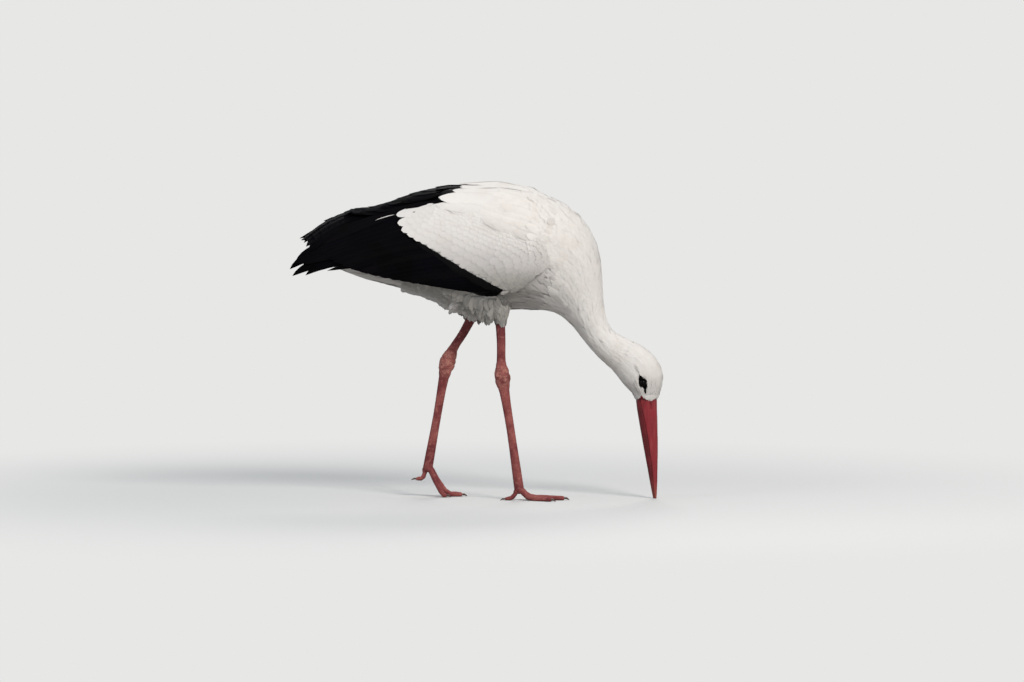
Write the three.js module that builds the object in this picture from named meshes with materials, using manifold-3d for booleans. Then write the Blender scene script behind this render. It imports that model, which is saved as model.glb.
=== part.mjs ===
import * as THREE from "three";
import { mergeVertices } from "three/addons/utils/BufferGeometryUtils.js";
import Module from "manifold-3d";

// A life-size white stork, walking slowly with its neck bent and its bill down to the ground.
// Millimetres. +X is ahead of the bird, +Y is its left side, +Z is up and the floor is at 0.
// The solids reach out to the tips of the plumage.

const wasm = await Module();
wasm.setup();

const GAP = 0.3; // left between any two pieces
const DOME_STEPS = 2; // rings in a domed end
const FAR = 900; // the size of a cutting block, larger than the bird

// ---------- Colours ----------

const paint = (color, roughness) => new THREE.MeshStandardMaterial({ color, roughness, metalness: 0 });
const white = paint("#e4ddd6", 0.9);
const black = paint("#1c1b20", 0.6);
const billRed = paint("#9a3539", 0.5);
const legRed = paint("#a8544f", 0.65);
const horn = paint("#4a3530", 0.5);
const dark = paint("#120d0c", 0.15);

// ---------- Sizes ----------

// The body, from the root of the tail over the back and down the neck to the root of the bill.
// Each line is one ring: [top ahead, top up, underside ahead, underside up, half width].
const BODY = [
  [-274, 472, -270, 434, 22],
  [-246, 498, -246, 423, 40],
  [-196, 514, -196, 405, 54],
  [-130, 536, -130, 388, 69],
  [-60, 565, -64, 365, 80],
  [0, 578, -6, 351, 85],
  [60, 577, 43, 351, 85],
  [115, 567, 75, 350, 82],
  [165, 547, 100, 349, 76],
  [203, 513, 124, 349, 68],
  [226, 468, 146, 344, 56],
  [233, 422, 163, 334, 47],
  [235, 380, 180, 317, 39],
  [239, 345, 197, 296, 33],
  [247, 320, 212, 277, 29],
  [262, 305, 231, 257, 27],
  [287, 294, 250, 240, 27],
  [316, 278, 264, 223, 28],
  [336, 257, 273, 211, 28.5],
  [346.5, 231, 282, 202, 26.5],
  [343, 203, 290, 193, 20.5],
  [335.5, 184, 294, 184, 14.5],
];
const NECK_CUTS = [9.3, 12.6, 14.6, 16.3]; // where the neck is parted, counted in rings of BODY

// In the lists below each line is one ring: [ahead, left, up, half depth, half width].

// The outside of the folded wings, from the bend of the wing to the tips.
const WING_OUTSIDE = [
  [170, 0, 438, 60, 46],
  [120, 0, 457, 104, 87],
  [60, 0, 467, 119, 96],
  [0, 0, 468, 117, 98],
  [-60, 0, 470, 110, 96],
  [-130, 0, 466, 92, 87],
  [-180, 0, 462, 79, 78],
  [-229, 0, 459, 76, 67],
  [-281, 0, 451, 60, 52],
  [-325, 0, 442, 42, 37],
  [-368, 0, 430, 28, 18],
];
// The hollow behind the trunk that the wing tips close over.
const WING_HOLLOW = [
  [-190, 0, 461, 50, 52],
  [-229, 0, 458, 68, 59],
  [-281, 0, 450, 54, 45],
  [-325, 0, 441, 37, 31],
  [-375, 0, 428, 25, 12],
];
// Half the width of the bare strip of back between the wings, above a height: [ahead, half width].
const MANTLE_FLOOR = 466;
const MANTLE = [[175, 60], [110, 44], [40, 32], [-30, 19], [-80, 6], [-104, GAP]];

const TAIL = [
  [-250, 0, 448, 17, 36],
  [-280, 0, 446, 11, 37],
  [-312, 0, 443, 6, 33],
  [-332, 0, 440, 3, 24],
];

// The bill, from inside the face to its tip on the floor.
const BILL = [
  [315, 0, 196, 15, 9],
  [315, 0, 184, 20, 12.5],
  [317, 0, 160, 18, 10.5],
  [321, 0, 120, 15.5, 8.6],
  [325.5, 0, 70, 10.8, 6.4],
  [329, 0, 26, 6.6, 4.4],
  [331, 0, 0, 3.2, 2.8],
];
const GAPE = [[306, 200], [303.5, 184], [311, 150], [318.5, 110], [325, 60], [331, -5]]; // [ahead, up]
const NOSTRIL = { at: [323, 172], out: 10.2, length: 15, height: 2.4, depth: 1.6, lean: 0.06 };

const EYE = { at: [308, 216], out: 20.5, radius: 8 };

// Each leg: its middle line from inside the thigh, past the knobbly hock, to the foot's joint.
const LEGS = {
  right: {
    side: -1,
    thigh: [[24, -34, 400], [41, -40, 366], [45.5, -38, 327]],
    bones: [
      [44, -37, 345],
      [46.5, -37, 290],
      [46.5, -37, 256],
      [48.5, -37, 229],
      [52.5, -37.3, 201],
      [64, -38, 130],
      [80, -39, 18],
    ],
    toeSlope: 26,
    heading: -0.04,
    hindLift: 0,
  },
  left: {
    side: 1,
    thigh: [[14, 34, 400], [7, 40, 368], [-9, 38, 333]],
    bones: [
      [-2, 37, 345],
      [-24, 37, 304],
      [-41.5, 37, 277],
      [-53, 37, 250],
      [-60, 37.3, 221],
      [-72, 38, 152],
      [-90, 39, 52],
    ],
    toeSlope: 60,
    heading: 0.04,
    hindLift: 30,
  },
};
const THIGH_SIZES = [[38, 25], [28, 22], [10.5, 9.5]]; // [half depth, half width] from hip to feather ends
const LEG_SIZES = [[9.5, 8], [8.3, 7], [8.8, 7.2], [15.2, 11], [9.6, 7.6], [7.7, 6.2], [9.2, 8.2]];
const LEG_CUTS = [2.25, 3.7]; // above and below the hock, counted in places along the leg
const TOES = {
  middle: { turn: 0, length: 84, radius: 6 },
  inner: { turn: -0.52, length: 62, radius: 5.4 },
  outer: { turn: 0.5, length: 70, radius: 5.6 },
  hind: { turn: Math.PI - 0.25, length: 30, radius: 4.6 },
};
const TOE_START = 6; // from the middle of the foot's joint
const CLAW_LENGTH = 11;
const PAD_FLAT = 0.7; // how far the round underside of a toe is pressed flat on the floor

// ---------- Solids ----------

/** A closed solid from corner positions and triangles. */
function solidOf(positions, triangles) {
  const mesh = new wasm.Mesh({
    numProp: 3,
    vertProperties: new Float32Array(positions),
    triVerts: new Uint32Array(triangles),
  });
  return new wasm.Manifold(mesh);
}

/** A closed solid from a three.js geometry. */
function solidFrom(geometry) {
  geometry.deleteAttribute("normal");
  geometry.deleteAttribute("uv");
  const merged = mergeVertices(geometry, 1e-4);
  return solidOf(merged.attributes.position.array, merged.index.array);
}

const curveThrough = (points) => new THREE.CatmullRomCurve3(points.map((p) => new THREE.Vector3(...p)));
const flatCurve = (points) => new THREE.SplineCurve(points.map((p) => new THREE.Vector2(...p)));

/**
 * Cross-sections along rings [x, y, z, half depth, half width], as a function of 0 to 1.
 * across is the direction in which the width is measured.
 */
function sectionsAlong(rings, grow = 0, across = [0, 1, 0]) {
  const line = curveThrough(rings.map((ring) => ring.slice(0, 3)));
  const sizes = flatCurve(rings.map((ring) => ring.slice(3)));
  return (t) => {
    const ahead = line.getTangent(t);
    const wanted = new THREE.Vector3(...across);
    const side = wanted.addScaledVector(ahead, -wanted.dot(ahead)).normalize();
    const up = ahead.clone().cross(side);
    const size = sizes.getPoint(t);
    up.multiplyScalar(size.x + grow);
    side.multiplyScalar(size.y + grow);
    return { centre: line.getPoint(t), ahead, up, side };
  };
}

/** Cross-sections between a top line and an underside line, from rings written like BODY's. */
function sectionsBetween(rings, grow = 0) {
  const tops = flatCurve(rings.map((ring) => ring.slice(0, 2)));
  const unders = flatCurve(rings.map((ring) => ring.slice(2, 4)));
  const widths = flatCurve(rings.map((ring) => [ring[4], 0]));
  return (t) => {
    const top = tops.getPoint(t);
    const under = unders.getPoint(t);
    const up = new THREE.Vector3(top.x - under.x, 0, top.y - under.y).divideScalar(2);
    const centre = new THREE.Vector3(top.x + under.x, 0, top.y + under.y).divideScalar(2);
    up.setLength(up.length() + grow);
    const side = new THREE.Vector3(0, widths.getPoint(t).x + grow, 0);
    const ahead = side.clone().cross(up).normalize();
    return { centre, ahead, up, side };
  };
}

/** A smooth closed solid through oval cross-sections, with ends domed by the given heights. */
function loft(sectionAt, { steps, sides, domes = [0, 0], boxy = 2 }) {
  const stops = [];
  for (let i = DOME_STEPS - 1; domes[0] && i > 0; i--) {
    stops.push({ t: 0, close: i / DOME_STEPS, dome: -domes[0] });
  }
  for (let i = 0; i <= steps; i++) {
    stops.push({ t: i / steps, close: 0, dome: 0 });
  }
  for (let i = 1; domes[1] && i < DOME_STEPS; i++) {
    stops.push({ t: 1, close: i / DOME_STEPS, dome: domes[1] });
  }

  const positions = [];
  const oval = (value) => Math.sign(value) * Math.abs(value) ** (2 / boxy);
  for (const { t, close, dome } of stops) {
    const { centre, ahead, up, side } = sectionAt(t);
    const angle = (close * Math.PI) / 2;
    centre.addScaledVector(ahead, dome * Math.sin(angle));
    for (let j = 0; j < sides; j++) {
      const turn = (j / sides) * Math.PI * 2;
      const point = centre.clone();
      point.addScaledVector(side, oval(Math.cos(turn)) * Math.cos(angle));
      point.addScaledVector(up, oval(Math.sin(turn)) * Math.cos(angle));
      positions.push(...point);
    }
  }
  const startCap = positions.length / 3;
  const first = sectionAt(0);
  const last = sectionAt(1);
  positions.push(...first.centre.addScaledVector(first.ahead, -domes[0]));
  positions.push(...last.centre.addScaledVector(last.ahead, domes[1]));

  const triangles = [];
  for (let i = 0; i + 1 < stops.length; i++) {
    for (let j = 0; j < sides; j++) {
      const next = (j + 1) % sides;
      const [a, b] = [i * sides + j, i * sides + next];
      triangles.push(a, b, b + sides, a, b + sides, a + sides);
    }
  }
  const lastRing = (stops.length - 1) * sides;
  for (let j = 0; j < sides; j++) {
    const next = (j + 1) % sides;
    triangles.push(startCap, next, j, startCap + 1, lastRing + j, lastRing + next);
  }
  return solidOf(positions, triangles);
}

/** Everything on the far side of a plane through point, in the given direction. */
function beyond(point, direction) {
  const block = new THREE.BoxGeometry(FAR, FAR, FAR).translate(0, 0, FAR / 2);
  const turn = new THREE.Quaternion().setFromUnitVectors(new THREE.Vector3(0, 0, 1), direction);
  block.applyQuaternion(turn).translate(...point);
  return solidFrom(block);
}

/** The stretch of a solid between two cross-sections, half a gap short at each cut. */
function stretch(solid, from, to) {
  let piece = solid;
  if (from) {
    const place = from.centre.clone().addScaledVector(from.ahead, GAP / 2);
    piece = piece.intersect(beyond(place, from.ahead));
  }
  if (to) {
    const back = to.ahead.clone().negate();
    piece = piece.intersect(beyond(to.centre.clone().addScaledVector(back, GAP / 2), back));
  }
  return piece;
}

/** A plate with a side-view outline of [ahead, up] corners, on the bird's left (+1) or right (-1). */
function sidePlate(outline, side) {
  const shape = new THREE.Shape(outline.map(([x, z]) => new THREE.Vector2(x, z)));
  const depth = FAR / 4;
  const plate = new THREE.ExtrudeGeometry(shape, { depth, bevelEnabled: false }).rotateX(Math.PI / 2);
  plate.translate(0, side > 0 ? depth + GAP / 2 : -GAP / 2, 0);
  return solidFrom(plate);
}

/** A plate through both sides of the bird with a side-view outline. */
function throughPlate(outline) {
  const shape = new THREE.Shape(outline.map(([x, z]) => new THREE.Vector2(x, z)));
  const plate = new THREE.ExtrudeGeometry(shape, { depth: FAR, bevelEnabled: false });
  return solidFrom(plate.rotateX(Math.PI / 2).translate(0, FAR / 2, 0));
}

/** A block with a top-view outline of [ahead, left] corners, from a height upwards. */
function planBlock(outline, floor) {
  const shape = new THREE.Shape(outline.map(([x, y]) => new THREE.Vector2(x, y)));
  const block = new THREE.ExtrudeGeometry(shape, { depth: FAR, bevelEnabled: false });
  return solidFrom(block.translate(0, 0, floor));
}

/** Rounded feather ends in a row along a line, bulging to the right of its direction. */
function featherEnds(points, count, bulge) {
  const line = new THREE.SplineCurve(points.map(([x, z]) => new THREE.Vector2(x, z)));
  const ARC_STEPS = 3;
  const ends = [];
  for (let i = 0; i < count * ARC_STEPS; i++) {
    const t = i / (count * ARC_STEPS);
    const tangent = line.getTangent(t);
    const lift = Math.sin(((i % ARC_STEPS) / ARC_STEPS) * Math.PI) * bulge;
    const point = line.getPoint(t).add(new THREE.Vector2(tangent.y, -tangent.x).multiplyScalar(lift));
    ends.push([point.x, point.y]);
  }
  ends.push(points.at(-1));
  return ends;
}

const stork = new THREE.Group();

/** Adds a solid to the bird as a named mesh. */
function add(name, solid, material) {
  const { vertProperties, triVerts } = solid.getMesh();
  const geometry = new THREE.BufferGeometry();
  geometry.setAttribute("position", new THREE.BufferAttribute(Float32Array.from(vertProperties), 3));
  geometry.setIndex(new THREE.BufferAttribute(Uint32Array.from(triVerts), 1));
  geometry.computeVertexNormals();
  const mesh = new THREE.Mesh(geometry, material);
  mesh.name = name;
  stork.add(mesh);
}

// ---------- Trunk, neck and head ----------

const BODY_LOFT = { steps: 34, sides: 18, domes: [12, 0], boxy: 2.15 };
const bodyAt = sectionsBetween(BODY);
const body = loft(bodyAt, BODY_LOFT);
const bodyRoom = loft(sectionsBetween(BODY, GAP), { ...BODY_LOFT, domes: [12 + GAP, 0] });
const WING_LOFT = { steps: 13, sides: 20, boxy: 2.4 };
const wingOutside = loft(sectionsAlong(WING_OUTSIDE), WING_LOFT);

/** The strip of back between the wings, narrowed by a gap. */
function mantle(narrowing) {
  const edge = MANTLE.map(([x, y]) => [x, Math.max(y - narrowing, 0.1)]);
  const mirrored = edge.map(([x, y]) => [x, -y]).reverse();
  return planBlock([...mirrored, ...edge], MANTLE_FLOOR);
}

const back = wingOutside.intersect(mantle(GAP));
const [breastCut, lowerCut, upperCut, napeCut] = NECK_CUTS.map((count) => bodyAt(count / (BODY.length - 1)));
add("trunk", stretch(body, null, breastCut).add(back), white);
add("neck_lower", stretch(body, breastCut, lowerCut), white);
add("neck_middle", stretch(body, lowerCut, upperCut), white);
add("neck_upper", stretch(body, upperCut, napeCut), white);

const eyeAt = (side) => [EYE.at[0], side * EYE.out, EYE.at[1]];
const ball = (radius, side) => {
  return solidFrom(new THREE.SphereGeometry(radius, 12, 6).translate(...eyeAt(side)));
};
const BILL_LOFT = { steps: 7, sides: 12, domes: [6, 0] };
let head = stretch(body, napeCut, null).subtract(loft(sectionsAlong(BILL, GAP), BILL_LOFT));
for (const [name, side] of [["right", -1], ["left", 1]]) {
  head = head.subtract(ball(EYE.radius + GAP, side));
  add(`eye_${name}`, ball(EYE.radius, side), dark);
}
add("head", head, white);

// ---------- Bill ----------

const above = [0, 0, 1];
const floor = beyond([0, 0, 0], new THREE.Vector3(...above));
const bill = loft(sectionsAlong(BILL), BILL_LOFT).intersect(floor);

/** All that lies ahead of or behind the line of the gape, half a gap away from it. */
function besideGape(ahead) {
  const shift = (ahead * GAP) / 2;
  const line = GAPE.map(([x, z]) => [x + shift, z]);
  const reach = ahead * FAR * 0.25;
  const outline = [[line[0][0], FAR / 3], ...line, [line.at(-1)[0], -50]];
  outline.push([outline.at(-1)[0] + reach, -50], [line[0][0] + reach, FAR / 3]);
  return throughPlate(ahead > 0 ? outline : outline.reverse());
}

let billUpper = bill.intersect(besideGape(1));
for (const side of [-1, 1]) {
  const cutter = 12;
  const slot = new THREE.BoxGeometry(NOSTRIL.height, cutter, NOSTRIL.length);
  const middleOut = side * (NOSTRIL.out - NOSTRIL.depth + cutter / 2);
  slot.rotateY(-NOSTRIL.lean).translate(NOSTRIL.at[0], middleOut, NOSTRIL.at[1]);
  billUpper = billUpper.subtract(solidFrom(slot));
}
add("bill_upper", billUpper, billRed);
add("bill_lower", bill.intersect(besideGape(-1)), billRed);

// ---------- Tail ----------

const tail = loft(sectionsAlong(TAIL), { steps: 4, sides: 12, domes: [0, 4] });
add("tail", tail.subtract(bodyRoom), white);

// ---------- Wings ----------

const COVERT_EDGE = [[46, 384], [16, 393], [-38, 424], [-95, 467], [-123, 490], [-144, 530]];
const WING_FRONT = [[141, 458], [128, 438], [107, 422], [80, 403], [56, 386]];
const WING_LOWER = [[42, 377], [7, 376], [-30, 389], [-67, 396], [-117, 403], [-165, 413], [-212, 419]];
const SECONDARY_ENDS = [[-222, 428], [-262, 446], [-276, 478], [-268, 505]];
const TIPS = {
  right: [
    [-272, 508], [-294, 474], [-331, 449], [-349, 425],
    [-328, 431], [-341, 409], [-322, 419], [-316, 410],
  ],
  left: [
    [-269, 600], [-310, 520], [-326, 486], [-330, 476],
    [-302, 474], [-324, 446], [-331, 437], [-320, 424],
  ],
};

/** A plate a little larger than sidePlate's, as the room that a piece of the wing takes up. */
function sideRoom(outline, side) {
  const steps = [[GAP, 0], [-GAP, 0], [0, GAP], [0, -GAP]];
  const plates = steps.map(([dx, dz]) => sidePlate(outline.map(([x, z]) => [x + dx, z + dz]), side));
  return wasm.Manifold.union(plates);
}

const coverts = [
  ...WING_FRONT,
  ...featherEnds(COVERT_EDGE, 9, -5),
  [-120, 536],
  [-74, 548],
  [-72, 560],
  [-58, FAR],
  [200, FAR],
  [150, 480],
];
const secondaries = [...WING_LOWER, ...featherEnds(SECONDARY_ENDS, 4, -5), [-268, FAR], [-20, FAR]];
const wingShell = wingOutside
  .subtract(bodyRoom)
  .subtract(loft(sectionsAlong(WING_HOLLOW), { steps: 5, sides: 16, boxy: 2.4 }))
  .subtract(mantle(0));

const wingRoom = {};
for (const [name, side] of [["right", -1], ["left", 1]]) {
  const primaries = [...TIPS[name], [-282, 426], [-238, 425], [-216, 440], [-236, 600]];
  const armShell = wingShell.subtract(sideRoom(coverts, side));
  const handShell = armShell.subtract(sideRoom(secondaries, side));
  const wingArea = sideRoom(coverts, side).add(sideRoom(secondaries, side));
  wingRoom[name] = loft(sectionsAlong(WING_OUTSIDE, GAP), WING_LOFT).intersect(wingArea);
  add(`wing_${name}_coverts`, wingShell.intersect(sidePlate(coverts, side)), white);
  add(`wing_${name}_secondaries`, armShell.intersect(sidePlate(secondaries, side)), black);
  add(`wing_${name}_primaries`, handShell.intersect(sidePlate(primaries, side)), black);
}

// ---------- Legs ----------

/** Rings along a chain of places, each with its half depth and half width. */
const ringsAt = (places, sizes) => places.map((place, i) => [...place, ...sizes[i]]);

/** A toe's rings: down the slope from the foot's joint, then flat along the floor. */
function toeRings(joint, heading, { length, radius }, slope, lift) {
  const [x, y, z] = joint;
  const low = radius - PAD_FLAT + lift;
  const sloped = Math.min(slope, length - 4);
  const run = Math.sqrt(Math.max(sloped ** 2 - (z - low) ** 2, 16));
  const at = (out, up) => [x + Math.cos(heading) * out, y + Math.sin(heading) * out, up];
  const flat = length - sloped;
  return [
    [...at(TOE_START, z - 1), radius * 1.05, radius * 1.1],
    [...at(run * 0.55, z + (low - z) * 0.55), radius * 0.92, radius * 0.92],
    [...at(run, low), radius, radius],
    [...at(run + flat * 0.55, low - radius * 0.12), radius * 0.88, radius * 0.88],
    [...at(run + flat, low - radius * 0.24), radius * 0.76, radius * 0.78],
  ];
}

/** A claw's rings, from inside the toe's last ring to a blunt tip that dips to the floor. */
function clawRings([x, y, z, deep, wide], heading) {
  const ring = (out, up, share) => {
    const place = [x + Math.cos(heading) * out, y + Math.sin(heading) * out, up];
    return [...place, deep * share, wide * share];
  };
  return [
    ring(0, z + 0.4, 0.62),
    ring(CLAW_LENGTH * 0.6, z + 0.2, 0.5),
    ring(CLAW_LENGTH, z - deep * 0.5, 0.24),
  ];
}

const THIGH_LOFT = { steps: 4, sides: 10, domes: [0, 5] };
const LEG_LOFT = { steps: 18, sides: 8, domes: [0, 7] };
const TOE_LOFT = { steps: 5, sides: 7, domes: [3, 3] };
const CLAW_LOFT = { steps: 2, sides: 5, domes: [0, 1] };

for (const [name, leg] of Object.entries(LEGS)) {
  const bones = ringsAt(leg.bones, LEG_SIZES);
  const boneAt = sectionsAlong(bones);
  const [hockTop, hockEnd] = LEG_CUTS.map((count) => boneAt(count / (bones.length - 1)));
  const limb = loft(boneAt, LEG_LOFT).intersect(floor);
  const limbRoom = loft(sectionsAlong(bones, GAP), LEG_LOFT);
  const thigh = loft(sectionsAlong(ringsAt(leg.thigh, THIGH_SIZES)), THIGH_LOFT);
  add(`thigh_${name}`, thigh.subtract(bodyRoom).subtract(limbRoom).subtract(wingRoom[name]), white);
  add(`shin_${name}`, stretch(limb, null, hockTop).subtract(bodyRoom), legRed);
  add(`hock_${name}`, stretch(limb, hockTop, hockEnd), legRed);
  add(`shank_${name}`, stretch(limb, hockEnd, null), legRed);

  let taken = limbRoom;
  for (const [toeName, toe] of Object.entries(TOES)) {
    const heading = leg.heading + toe.turn * leg.side;
    const isHind = toeName === "hind";
    const slope = isHind ? toe.length * 0.7 : leg.toeSlope;
    const rings = toeRings(leg.bones.at(-1), heading, toe, slope, isHind ? leg.hindLift : 0);
    const across = [-Math.sin(heading), Math.cos(heading), 0];
    const toeSolid = loft(sectionsAlong(rings, 0, across), TOE_LOFT).intersect(floor);
    const toeRoom = loft(sectionsAlong(rings, GAP, across), { ...TOE_LOFT, domes: [3, 3 + GAP] });
    add(`toe_${name}_${toeName}`, toeSolid.subtract(taken), legRed);
    taken = taken.add(toeRoom);

    const claw = loft(sectionsAlong(clawRings(rings.at(-1), heading), 0, across), CLAW_LOFT);
    add(`claw_${name}_${toeName}`, claw.intersect(floor).subtract(toeRoom), horn);
  }
}

// ---------- Place: the middle of the bird's footprint over the origin, on the floor ----------

const box = new THREE.Box3().setFromObject(stork);
const middle = box.getCenter(new THREE.Vector3());
stork.position.set(-middle.x, -middle.y, -box.min.z);

export default stork;
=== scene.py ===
import math

import bpy
import numpy as np
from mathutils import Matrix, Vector, noise
from mathutils.bvhtree import BVHTree


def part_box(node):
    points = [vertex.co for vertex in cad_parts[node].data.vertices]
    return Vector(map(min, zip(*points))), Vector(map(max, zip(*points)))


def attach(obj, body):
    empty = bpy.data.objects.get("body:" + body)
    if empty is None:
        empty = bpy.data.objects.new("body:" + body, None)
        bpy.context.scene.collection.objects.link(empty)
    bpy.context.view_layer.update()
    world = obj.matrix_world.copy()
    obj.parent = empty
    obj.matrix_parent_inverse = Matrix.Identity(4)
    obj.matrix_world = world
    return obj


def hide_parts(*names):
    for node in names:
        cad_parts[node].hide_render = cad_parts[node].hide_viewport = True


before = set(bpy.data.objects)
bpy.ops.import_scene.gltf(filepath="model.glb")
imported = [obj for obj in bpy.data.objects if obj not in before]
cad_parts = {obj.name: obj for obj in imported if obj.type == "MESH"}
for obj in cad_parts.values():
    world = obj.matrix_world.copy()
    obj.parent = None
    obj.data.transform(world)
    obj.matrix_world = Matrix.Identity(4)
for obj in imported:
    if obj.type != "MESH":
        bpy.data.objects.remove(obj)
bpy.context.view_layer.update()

MM = 0.001
SIDES = {"right": -1.0, "left": 1.0}
ROOT = "root"

# ---- sizes, in mm
# x runs forward, y to the stork's left, z up; the side tables are (x, z) pairs.
EYE_X, EYE_Z, EYE_CLEAR = 308.0, 216.0, 5.0
# Middle line of tail, trunk, neck and head, from tail to bill.
SPINE = [(-272, 453), (-246, 457), (-196, 461), (-130, 466), (-61, 471), (-2, 470), (52, 465), (95, 458),
         (132, 448), (163, 431), (186, 406), (198, 378), (207, 348), (218, 314), (229, 298), (246, 281),
         (268, 267), (290, 250), (304, 234), (314, 216), (316, 198), (315, 184)]
# Folded wing's outer form, rear to front: x, middle z, half depth, half width, as in the solids.
WING_FORM = np.array([(-368, 430, 28, 18), (-325, 442, 42, 37), (-281, 451, 60, 52), (-229, 459, 76, 67),
                      (-180, 462, 79, 78), (-130, 466, 92, 87), (-60, 470, 110, 96), (0, 468, 117, 98),
                      (60, 467, 119, 96), (120, 457, 104, 87), (170, 438, 60, 46)], float)
WING_POWER = 2.4
# Edge of the white greater coverts over the black flight feathers, low front to high rear.
COVERT_EDGE = [(58, 388), (15, 411), (-51, 449), (-107, 484), (-138, 503), (-147, 529)]
# Where the coverts begin: the wing's leading edge, then the lower edge of the scapulars.
COVERT_START = [(62, 388), (84, 404), (110, 424), (131, 440), (142, 460), (128, 480), (85, 495), (15, 523),
                (-33, 538), (-66, 549)]
# Upper edge of the white over the rear of the wing.
BLACK_TOP = [(-146, 530), (-120, 543), (-74, 552), (-60, 555), (-44, 562), (-30, 573), (-20, 581)]
# Lower edge of the scapulars, rear to front.
SCAPULAR_FOLD = [(-80, 548), (-33, 534), (-2, 526), (15, 519), (50, 503), (85, 491), (131, 478), (150, 474)]
# Outline of the black skin round the eye, with its streak towards the gape, from the side.
EYE_PATCH = [(302.7, 231), (306.5, 227.5), (311, 224), (315.5, 220.5), (317, 215), (316.2, 209), (315, 202),
             (312.8, 194.5), (311, 197), (310.4, 203), (309, 207.5), (305.0, 209.5), (301.6, 213),
             (300.6, 218), (301, 225)]
# The red corner of the mouth, which runs up between the feathers of chin and cheek.
GAPE_CORNER = [(298.5, 178), (299.5, 183.5), (302.5, 187.5), (305.0, 193.0), (307.2, 190), (309.5, 187),
               (313, 183), (318, 178)]
# Lower border of the face feathers on the base of the bill, from the chin to the culmen.
FACE_BORDER = [(294, 186), (298, 180.5), (301, 184), (305, 191), (308, 188.5), (311, 187), (317, 182),
               (324, 180.5), (329, 183.5), (331, 186), (335, 182.5)]
BILL_MIDDLE = 315.0
# Faint creases of the face, drawn only as painted shade: above and behind the eye, and from the cheek to the gape.
CREASES = [[(297, 245), (300.5, 238), (303.5, 230)], [(293, 210), (296.5, 202), (301, 194), (303.5, 188)]]
THIGH_LINES = {"right": ((24, -34, 400), (45.5, -38, 327)), "left": ((14, 34, 400), (-9, 38, 333))}
# How deep the skin lies under the outer form of the plumage; the tail's end lies deeper, the head's less at the bill.
SKIN_DEPTH = {"head": 1.2, "neck_upper": 1.6, "neck_middle": 2.0, "neck_lower": 2.4, "trunk": 3.0, "tail": 4.5,
              "wing": 2.6, "flight": 9.5, "thigh": 2.6, "leg": 0.0}
TAIL_DEEPER, TAIL_DEEPER_OVER = 8.0, 25.0
THINNER_AT_BILL = 35.0
FACE_MIDDLE, CREASE_MIDDLE, CREASE_WIDTH, CREASE_SHADE = 8.0, 6.0, 2.0, 1.6
FORM_VOXEL = 2.7
LEG_VOXEL = 1.05
COARSER = 1.0
SPARSER = 1.0
LEG_SCALE, LEG_SCALE_HEIGHT, KNOB_HEIGHT = 3.4, 0.14, 2.4
# Painted shade on the top of the bare shin, under the body: from this height in mm, growing over this many mm.
SHIN_SHADE_FROM, SHIN_SHADE_FADE = 262.0, 50.0

# Everyday colours, linear.
WHITE = (0.80, 0.765, 0.735)
CREAM = (0.70, 0.635, 0.575)
# SHADE and DUSK are the greys of painted shade on the white feathers; SHADE also draws their barb lines and mottles
# the down on the skin.
SHADE = (0.56, 0.53, 0.52)
DUSK = (0.27, 0.255, 0.235)
SHAFT = (0.78, 0.72, 0.64)
BLACK = (0.0012, 0.0011, 0.0016)
# Painted sheen and highlight on the black feathers, with lighter barb lines of their own.
BLACK_SHEEN = (0.0024, 0.0020, 0.0042)
BLACK_EDGE = (0.0062, 0.0052, 0.0050)
BLACK_SKIN = (0.004, 0.0035, 0.004)
BILL_RED = (0.27, 0.024, 0.032)
BILL_DULL = (0.25, 0.028, 0.034)
BILL_DARK = (0.085, 0.009, 0.011)
BILL_STREAK = (0.40, 0.085, 0.085)
BILL_TIP = (0.30, 0.085, 0.06)
BILL_ROOT = (0.16, 0.022, 0.026)
MOUTH_SHADE = ((0.020, 0.006, 0.007), (0.045, 0.012, 0.014))
LEG_RED = (0.39, 0.120, 0.105)
LEG_DARK = (0.17, 0.036, 0.040)
LEG_PALE = (0.56, 0.25, 0.20)
SHIN_SHADE = (0.15, 0.034, 0.040)
CLAW = ((0.060, 0.034, 0.028), (0.13, 0.075, 0.058))
IRIS = ((0.0030, 0.0020, 0.0020), (0.0075, 0.0045, 0.0038))
PUPIL = (0.003, 0.003, 0.003)
EYE_RIM = (0.006, 0.005, 0.006)
PAPER = ((0.715, 0.71, 0.70), (0.73, 0.725, 0.715))
PAPER_BOUNCE = (0.34, 0.335, 0.32)
BACKGROUND = (0.80, 0.80, 0.79)
SKY = (0.86, 0.93, 1.0, 1.0)

rng = np.random.default_rng(20260)
LEG_WORDS = ("shin", "hock", "shank", "toe")
FLESH = [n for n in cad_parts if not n.startswith(("eye", "bill", "claw"))]
LEGS = [n for n in FLESH if n.startswith(LEG_WORDS)]
eye_low, eye_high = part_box("eye_right")
SHIFT = (eye_low.x + eye_high.x) / 2 - EYE_X * MM
BILL_BASE = np.array((0.315 + SHIFT, 0.0, 0.190))


# ---- camera
VIEW_WIDTH = 1.894
VIEW_DISTANCE = 21.0
VIEW_RISE = math.radians(4.0)
VIEW_MIDDLE = (0.0678, 0.0, 0.2921)
SENSOR = 36.0


def make_camera():
    data = bpy.data.cameras.new("camera")
    data.sensor_width = SENSOR
    data.lens = SENSOR * VIEW_DISTANCE / VIEW_WIDTH
    data.clip_end = 100
    cam = bpy.data.objects.new("camera", data)
    x, y, z = VIEW_MIDDLE
    cam.location = (x, y - VIEW_DISTANCE * math.cos(VIEW_RISE), z + VIEW_DISTANCE * math.sin(VIEW_RISE))
    cam.rotation_euler = (math.pi / 2 - VIEW_RISE, 0, 0)
    bpy.context.scene.collection.objects.link(cam)
    bpy.context.scene.camera = cam


# ---- small helpers
def unit(a):
    return a / np.maximum(np.linalg.norm(a, axis=-1, keepdims=True), 1e-12)


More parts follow.
